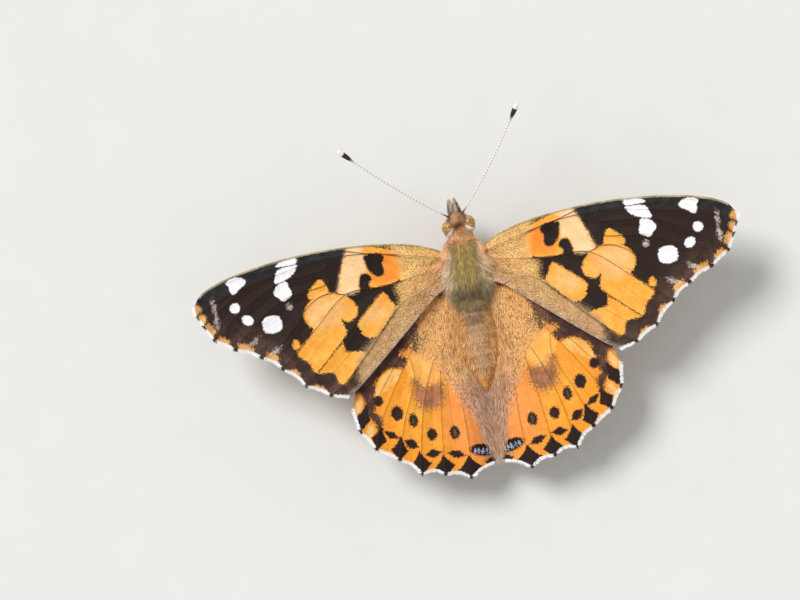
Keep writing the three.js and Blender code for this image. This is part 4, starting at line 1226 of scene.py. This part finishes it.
# Hindwings: the same membrane and scales. Their front part lies under the forewings, and the hind edges
# turn down along the abdomen and carry long soft hair.
hindwing = {
    "leading": [(1.0, -3.2), (3.0, -3.3), (6.5, -4.4), (9.8, -6.8), (12.6, -9.8), (14.7, -12.9), (15.75, -15.9)],
    "vein_ends": [(15.75, -15.9), (15.4, -18.7), (13.95, -21.05), (11.5, -22.7), (9.2, -24.9), (6.5, -25.35),
                  (3.6, -26.3), (0.65, -25.0)],
    "scallops": [0.0, 0.2, 0.2, 0.42, 0.6, 0.5, 0.3],
    "hind": [(1.4, -5.2), (2.1, -8.5), (2.1, -10.5), (1.7, -13), (1.0, -15), (0.3, -16.8), (0.2, -20),
             (0.2, -24.2), (0.65, -25.0)],
    "veins": [
        [(2.6, -3.8), (7, -5.6), (11.5, -9.5), (15.7, -15.6)],
        [(2.6, -4.2), (6, -7.2), (9.5, -11), (13, -15.5), (15.4, -18.7)],
        [(6.8, -8.4), (8.5, -11.3), (9.7, -13), (12.7, -17.8), (13.95, -21.1)],
        [(8.3, -11.2), (8.1, -13.4), (8.7, -15.2), (10.1, -18.4), (11.5, -22.7)],
        [(2.6, -4.6), (3.4, -7), (4.3, -9.8), (5.9, -12.6), (7.3, -16), (8.5, -20.5), (9.2, -24.9)],
        [(4.6, -11), (5.5, -16.5), (6.1, -21), (6.5, -25.4)],
        [(3.6, -8.5), (3.4, -12), (3.2, -16), (3.2, -22), (3.6, -26.3)],
        [(2.4, -5), (2.4, -10), (1.6, -17), (0.8, -24.8)],
    ],
    "folds": [[(10.4, -12.8), (14.6, -19.6)], [(9.4, -15.4), (12.9, -21.6)], [(7.9, -14.6), (10.4, -23.6)],
              [(6.4, -15.2), (7.9, -25.0)], [(4.4, -13), (5.0, -25.6)]],
}


def hindwing_height(plan):
    x, y = plan[:, 0], plan[:, 1]
    fold = 1.5 * np.exp(-((x / 1.7) ** 2)) * between(y, -7, -13)
    return BODY_HEIGHT - 0.15 + 0.14 * (x - 2.5) - fold


COSTAL_ZONE = [(1.3, -4), (5.5, -5.6), (6.9, -8.3), (7.3, -9.5), (8.2, -10), (8.8, -11.8), (9.7, -12.3),
               (10.6, -12.1), (11.9, -12.6), (12.7, -13.4), (13.5, -15), (13.6, -15.9), (13.3, -16.8),
               (12.8, -17.2), (12.7, -18), (12.9, -19.0), (13.1, -19.2), (13.3, -18.7), (13.8, -17.6),
               (14.3, -17.0), (14.5, -16), (14.2, -15.3), (14.9, -14.3), (16.2, -14.6), (15.6, -11), (9.3, -3)]
COSTAL_SPOT = [(8.8, -10.6, 0.55, 0.45, 0)]
DISCAL_PATCH = [(5.3, -12.8), (6.2, -11.9), (7.1, -11.2), (8.3, -11), (8.8, -11.8), (8.6, -13), (8.1, -14),
                (7.6, -14.9), (6.6, -14.9), (5.5, -14.6)]
BROWN_BAR = [(5.3, -15), (7.3, -15), (8, -14), (8.2, -15), (8, -16.5), (7.5, -17.3), (6.3, -17.3), (5.5, -16.8)]
PALE_PATCH = [(9.5, -12.5), (10.6, -12.2), (11.8, -12.7), (12.7, -14), (13, -15), (12.6, -15.2), (11.8, -14.6),
              (10.9, -14), (10, -13.4)]
MARBLES = [(5.0, -8.6, 1.5, 0.8, -40), (9.5, -9.2, 1.6, 0.9, -35), (3.6, -12.6, 0.9, 1.6, 0), (7.4, -15.6, 1.7, 0.7, 20),
           (11.6, -13.2, 1.5, 0.7, -30), (2.2, -17.6, 0.7, 1.8, 0), (13.6, -16.4, 0.7, 1.6, 20)]
COSTAL_SPOTS = [(6.9, -9.6, 1.1, 0.7, -45), (13.3, -14.2, 0.9, 0.7, -50),
                (13.6, -15.7, 0.55, 1.5, 22)]
EYE_SPOTS = [(12.75, -15.5, 0.6, 0.6, 0), (10.8, -17.3, 0.7, 0.86, 0), (9.1, -18.45, 0.54, 0.8, 0),
             (7.25, -20.4, 0.6, 0.74, 0), (4.6, -20.7, 0.58, 0.76, 0)]
EYE_CORES = [(4.6, -20.7, 0.2, 0.5, 0), (9.1, -18.5, 0.16, 0.4, 0)]
WEDGES = [(11.9, -19.65, 1.05, 0.42, 32, 1.1), (9.8, -21.1, 0.95, 0.55, 35, 1.2), (7.45, -22.65, 1.0, 0.52, 0, 1.1),
          (4.8, -23.2, 1.1, 0.46, 18, 1.2)]
END_PATCHES = [(14.75, -17.2, 0.9, 1.9, 25, 0.85), (13.4, -19.9, 0.95, 1.7, 22, 0.8), (11.25, -21.6, 1.05, 1.8, 14, 0.8),
               (9.1, -23.7, 1.3, 1.75, 2, 0.8), (6.4, -24.4, 1.3, 1.55, 0, 0.8), (3.5, -25.1, 1.5, 1.6, 0, 0.8),
               (0.9, -24.75, 0.9, 0.5, 0, 1)]
YELLOW_OUTER = [(15.05, -15.8, 0.35, 1.1, 10), (14.4, -19.0, 0.4, 0.9, 28)]
LUNULE = [(1.7, -23.3, 1.5, 0.72, 14)]
LUNULE_BARS = [(1.74 + 0.44 * k, -23.42 + 0.11 * k, 0.13, 0.24, 14) for k in (-2, -1, 0, 1, 2)]



def hindwing_marks(plan, shape, margin, to_leading):
    x, y = plan[:, 0], plan[:, 1]
    ocelli = into_marks(plan, spots=[(spot[0], spot[1] + 0.4, 0.95, 1.0, 0) for spot in EYE_SPOTS])
    return {
        "yolk": into_marks(plan, spots=[(5.5, -17.5, 5.5, 4.5, 0)]),
        "base": np.where(y > -16, 3.6 + 0.35 * (y + 9) + 2.4 - np.hypot(x - 3, (y + 8) * 0.7), -3),
        "costal": np.maximum(into_patch(plan, COSTAL_ZONE), into_marks(plan, spots=COSTAL_SPOTS)),
        "costal_spot": into_marks(plan, spots=COSTAL_SPOT),
        "discal": into_patch(plan, DISCAL_PATCH),
        "bar": into_patch(plan, BROWN_BAR) + 0.25,
        "pale": into_patch(plan, PALE_PATCH),
        "eye": into_marks(plan, spots=EYE_SPOTS),
        "wedge": into_marks(plan, spots=WEDGES),
        "end": into_marks(plan, spots=END_PATCHES),
        "yellow": into_marks(plan, spots=YELLOW_OUTER),
        "eye_core": into_marks(plan, spots=EYE_CORES),
        "blush": into_marks(plan, spots=[(3.2, -19.5, 2.6, 4.5, 0)]),
        "lunule": into_marks(plan, spots=LUNULE),
        "lunule_core": into_marks(plan, spots=LUNULE_BARS),
        "fold": 1.7 - x + 0.3 * between(y, -23, -13),
        "white": np.full(len(plan), -5.0),
        "ring": ocelli,
        "pupil": ocelli - 0.3,
        "glint": ocelli - 0.62,
        "marble": into_marks(plan, spots=MARBLES),
    }


HINDWING_UPPER = [
    ("yolk", (254, 176, 66), (250, 160, 52), 1.5, 0.5, 0.9),
    ("blush", (254, 158, 86), (250, 148, 74), 1.4, 0.4, 0.8),
    ("base", (248, 182, 110), (228, 158, 92), 1.2, 0.8, 0.9),
    ("fold", (206, 152, 118), (180, 128, 98), 0.6, 0.4, 0.85),
    ("discal", (254, 190, 102), (252, 177, 82), 0.15, 0.2, 1),
    ("bar", (116, 76, 64), (164, 110, 88), 0.3, 0.6, 0.85),
    ("costal", (66, 44, 38), (96, 66, 54), 0.08, 0.25, 1),
    ("costal_spot", (244, 164, 80), (226, 144, 70), 0.1, 0.2, 0.9),
    ("pale", (254, 195, 112), (252, 180, 86), 0.12, 0.16, 1),
    ("yellow", (250, 212, 150), (242, 190, 116), 0.15, 0.2, 0.85),
    ("eye", (58, 36, 30), (46, 28, 24), 0.05, 0.12, 1),
    ("eye_core", (124, 92, 66), (104, 76, 56), 0.08, 0.12, 0.7),
    ("wedge", (50, 32, 28), (40, 26, 24), 0.04, 0.12, 1),
    ("end", (44, 29, 26), (36, 24, 22), 0.05, 0.14, 1),
    ("lunule", (34, 26, 28), (26, 20, 24), 0.05, 0.12, 1),
    ("lunule_core", (226, 230, 246), (136, 144, 176), 0.04, 0.12, 0.95),
]
HINDWING_UNDER = [
    ("yolk", (206, 178, 132), (172, 142, 100), 1.5, 1.5, 0.8),
    ("base", (196, 172, 132), (150, 124, 88), 1.4, 1.2, 0.9),
    ("fold", (226, 208, 176), (204, 184, 148), 0.6, 0.4, 0.85),
    ("discal", (236, 222, 192), (214, 196, 160), 0.3, 0.3, 0.9),
    ("bar", (134, 106, 70), (158, 128, 88), 0.3, 0.3, 0.95),
    ("pale", (240, 228, 200), (226, 208, 172), 0.2, 0.2, 1),
    ("yellow", (238, 226, 200), (220, 204, 172), 0.2, 0.2, 0.9),
    ("wedge", (106, 118, 132), (84, 96, 112), 0.05, 0.1, 0.95),
    ("end", (196, 160, 108), (176, 142, 94), 0.1, 0.12, 0.9),
    ("marble", (240, 230, 206), (222, 206, 172), 0.15, 0.5, 0.85),
    ("ring", (236, 214, 156), (214, 184, 120), 0.1, 0.12, 0.9),
    ("pupil", (62, 50, 42), (84, 66, 50), 0.08, 0.1, 0.9),
    ("glint", (140, 158, 176), (112, 128, 150), 0.08, 0.1, 0.8),
]
coverings["hindwing"] = wing_material(
    "hindwing scales", HINDWING_UPPER, HINDWING_UNDER,
    ground=((250, 164, 54), (246, 148, 42)), ground_under=((196, 164, 118), (160, 130, 90)),
    veins=((58, 32, 20), 0.5), veins_under=((238, 230, 212), 0.9), speck=((160, 106, 66), 0.5),
)
for side, hand in ((1, "right"), (-1, "left")):
    wing = wing_sheet(f"hindwing_skin_{hand}", side, hindwing, hindwing_height, hindwing_marks,
                      coverings["hindwing"], across=200, down=180)
    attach(wing, "root")
    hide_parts(f"hindwing_{hand}")

# Fringe and wing hair: hair-like scales all along the outer margin, white between the vein ends and black
# at them, and soft hair on the wing bases and along the hindwings' inner edges, where it flows backwards
# and inwards to the middle line.
fringe_finish, graph, surface = new_material("wing fringe")
lot = graph.mark("lot")
strayed = graph.math("MULTIPLY_ADD", lot, 0.24, graph.math("SUBTRACT", graph.mark("vein_end"), 0.12))
colour = graph.blend(graph.between(strayed, 0.26, 0.36), tone(44, 32, 28), tone(255, 253, 250))
shade = graph.math("MULTIPLY_ADD", lot, 0.16, 0.88)
graph.join(graph.shade(colour, shade), surface.inputs["Base Color"])
surface.inputs["Roughness"].default_value = 0.7


def wing_unwrap(plan, shape):
    corners = np.array(shape["leading"] + shape["hind"] + shape["vein_ends"])
    low, span = corners.min(axis=0), np.ptp(corners, axis=0)
    return 0.02 + 0.96 * (plan - low) / span


def wing_fringe(name, side, shape, height, seed):
    margin = scallops(shape["vein_ends"], shape["scallops"], 0.05)
    rng = np.random.default_rng(seed)
    shares = np.sort(rng.random(int(len(margin) * 3.2)))
    plan = along_path(margin, shares)
    ahead = along_path(margin, np.minimum(shares + 0.005, 1)) - along_path(margin, np.maximum(shares - 0.005, 0))
    ahead /= np.linalg.norm(ahead, axis=1, keepdims=True)
    outward = np.column_stack([-ahead[:, 1], ahead[:, 0]])
    count = len(plan)
    plan = plan - outward * rng.uniform(0.05, 0.3, count)[:, None]
    ends = np.array(shape["vein_ends"][1:-1])
    to_end = np.min(np.linalg.norm(plan[:, None] - ends, axis=2), axis=1)
    roots = np.column_stack([side * plan[:, 0], plan[:, 1], wing_rise(plan, shape, height) + 0.02])
    lie = np.column_stack([side * outward[:, 0], outward[:, 1], np.full(count, 0.05)])
    upright = np.tile([0, 0, 1.0], (count, 1))
    lengths = rng.uniform(0.32, 0.46, count) * np.where(to_end < 0.32, 0.75, 1)
    return hairs(name, roots, upright, lie, lengths=lengths, widths=rng.uniform(0.06, 0.1, count),
                 stand=rng.uniform(0.0, 0.08, count), seed=seed + 1, unwrap=wing_unwrap(plan, shape),
                 marks={"vein_end": to_end}, sway=0.08)


def wing_hair(name, side, shape, height, dense, lie_at, lengths, widths, stand, seed, face=1):
    """Hair on a wing face; dense gives hairs per square millimetre and lie_at their way, both in plan."""
    rng = np.random.default_rng(seed)
    low, high = np.array([0.2, -25.0]), np.array([17.0, 3.0])
    draws = int(np.prod(high - low) * 240)
    plan = low + rng.random((draws, 2)) * (high - low)
    plan = plan[rng.random(draws) * 240 < dense(plan)]
    count = len(plan)
    rise = wing_rise(plan, shape, height) + face * 0.045
    roots = np.column_stack([side * plan[:, 0], plan[:, 1], rise])
    way = lie_at(plan)
    lie = np.column_stack([side * way[:, 0], way[:, 1], 0.14 * way[:, 0]])
    upright = np.tile([0, 0, float(face)], (count, 1))
    piece = hairs(name, roots, upright, lie, lengths=rng.uniform(*lengths, count),
                  widths=rng.uniform(*widths, count), stand=rng.uniform(*stand, count),
                  seed=seed + 1, unwrap=wing_unwrap(plan, shape),
                  marks={"inner": 3.2 - plan[:, 0] - 0.1 * plan[:, 1] * (plan[:, 1] > -12)}, sway=0.16)
    return piece


wing_hair_finish, graph, surface = new_material("wing hair")
lot = graph.mark("lot")
drift = graph.noise(graph.place(), 0.7, 2)
ochre = graph.blend(drift, tone(246, 186, 110), tone(253, 212, 146))
mauve = graph.blend(drift, tone(206, 160, 130), tone(238, 198, 166))
rearward = graph.add("SeparateXYZ", {0: graph.place()}).outputs[1]
colour = graph.blend(graph.between(rearward, SHIFT - 18 * MM, SHIFT - 12 * MM, 1, 0), ochre, mauve)
dark = graph.between(lot, 0.64, 0.7)
colour = graph.blend(graph.math("MULTIPLY", dark, 0.8), colour, tone(136, 86, 50))
# Each hair is painted darker towards its root: painted shade from the hairs that lie over it.
graph.join(graph.shade(colour, graph.math("MULTIPLY_ADD", graph.mark("along"), 0.25, 0.92)),
           surface.inputs["Base Color"])
surface.inputs["Roughness"].default_value = 0.6
surface.inputs["Specular IOR Level"].default_value = 0.25


def forewing_dense(plan):
    within = into_patch(plan, [(0.8, -0.5), (2.4, 0.3), (4.2, 0.6), (6.5, -0.8), (8, -4.5), (8.4, -7.6),
                               (4.8, -5.0), (2.6, -3.8), (1, -3.2)])
    return 60 * between(within, 0, 1.5) * between(plan[:, 0], 9, 3)


def forewing_lie(plan):
    return np.column_stack([np.full(len(plan), 1.0), -0.55 - 0.1 * plan[:, 0]])


DOWN = [(1.2, -4.2), (2.6, -3.8), (5.2, -5.4), (7.0, -8.9), (7.1, -10.4), (5.6, -12.2), (4.6, -15.0), (2.9, -18.4),
        (1.8, -20.5), (1.1, -22.3), (0.7, -23.8), (0.2, -24.0), (0.2, -17), (1.0, -15), (1.7, -13), (2.1, -10), (2.0, -8)]


def down_dense(plan):
    return 230 * between(into_patch(plan, DOWN), -0.3, 1.2)


def inner_dense(plan):
    inner = from_line(plan, smooth_path(hindwing["hind"], 0.3))
    behind = into_patch(plan, [(1.2, -4.5), (3.6, -4.6), (4.4, -8.0), (3.8, -14.0), (2.2, -19.0), (1.2, -23.0),
                               (0.1, -24.4), (0.1, -15.5), (1.0, -14.6), (1.7, -12.5), (2.0, -8)])
    return 100 * between(inner, 2.2, 0.4) * between(behind, -0.1, 0.5)


def hindwing_lie(plan):
    inwards = 0.4 * between(plan[:, 1], -10, -17) - 0.08
    return np.column_stack([-inwards, -np.ones(len(plan))])


for side, hand in ((1, "right"), (-1, "left")):
    for name, shape, height, seed in (("forewing", forewing, forewing_height, 61),
                                      ("hindwing", hindwing, hindwing_height, 63)):
        fringe = wing_fringe(f"{name}_fringe_{hand}", side, shape, height, seed)
        dress(fringe, fringe_finish)
    hair = wing_hair(f"forewing_hair_{hand}", side, forewing, forewing_height, forewing_dense, forewing_lie,
                     (0.5, 1.2), (0.03, 0.05), (0.03, 0.2), 65)
    dress(hair, wing_hair_finish)
    hair = wing_hair(f"hindwing_down_{hand}", side, hindwing, hindwing_height, down_dense, hindwing_lie,
                     (0.2, 0.42), (0.05, 0.09), (0.1, 0.4), 67)
    dress(hair, wing_hair_finish)
    hair = wing_hair(f"hindwing_hair_{hand}", side, hindwing, hindwing_height, inner_dense, hindwing_lie,
                     (0.7, 1.5), (0.03, 0.05), (0.03, 0.25), 69)
    dress(hair, wing_hair_finish)

# The floor: a plain pale sheet, wide enough to reach past every view's edge.
deselect()
bpy.ops.mesh.primitive_plane_add(size=1.2, location=(0, 0, 0))
floor = bpy.context.object
floor.name = "floor"
material, graph, surface = new_material("pale floor")
speck = graph.noise(graph.place(), 6, 3)
graph.join(graph.blend(speck, tone(226, 226, 222), tone(232, 232, 229)), surface.inputs["Base Color"])
surface.inputs["Roughness"].default_value = 0.9
floor.data.materials.append(material)
floor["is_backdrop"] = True

# Light: a large soft lamp over the left shoulder, and an even white surround.
bpy.ops.object.light_add(type="SUN", rotation=(math.radians(-28), math.radians(-26), 0))
lamp = bpy.context.object
lamp.data.energy = 2.3
lamp.data.angle = math.radians(22)
world = bpy.data.worlds.new("studio")
world.use_nodes = True
world.node_tree.nodes["Background"].inputs["Color"].default_value = (1, 1, 1, 1)
world.node_tree.nodes["Background"].inputs["Strength"].default_value = 0.5
bpy.context.scene.world = world
bpy.context.scene.view_settings.view_transform = "Standard"

# Camera: straight down on the back, turned so that the head points up and a little to the left.
bpy.ops.object.camera_add(
    location=(-8.19 * MM, -4.38 * MM + SHIFT, (8.2 + 387) * MM),
    rotation=(0, 0, math.radians(-10.05)),
)
camera = bpy.context.object
camera.data.lens = 150
camera.data.sensor_width = 36
camera.data.clip_start = 0.05
camera.data.clip_end = 10
bpy.context.scene.camera = camera

box_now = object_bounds()
plain = lambda corners: [[float(c) for c in corner] for corner in corners]
{"cad": plain(cad_box), "visual": plain(box_now)}
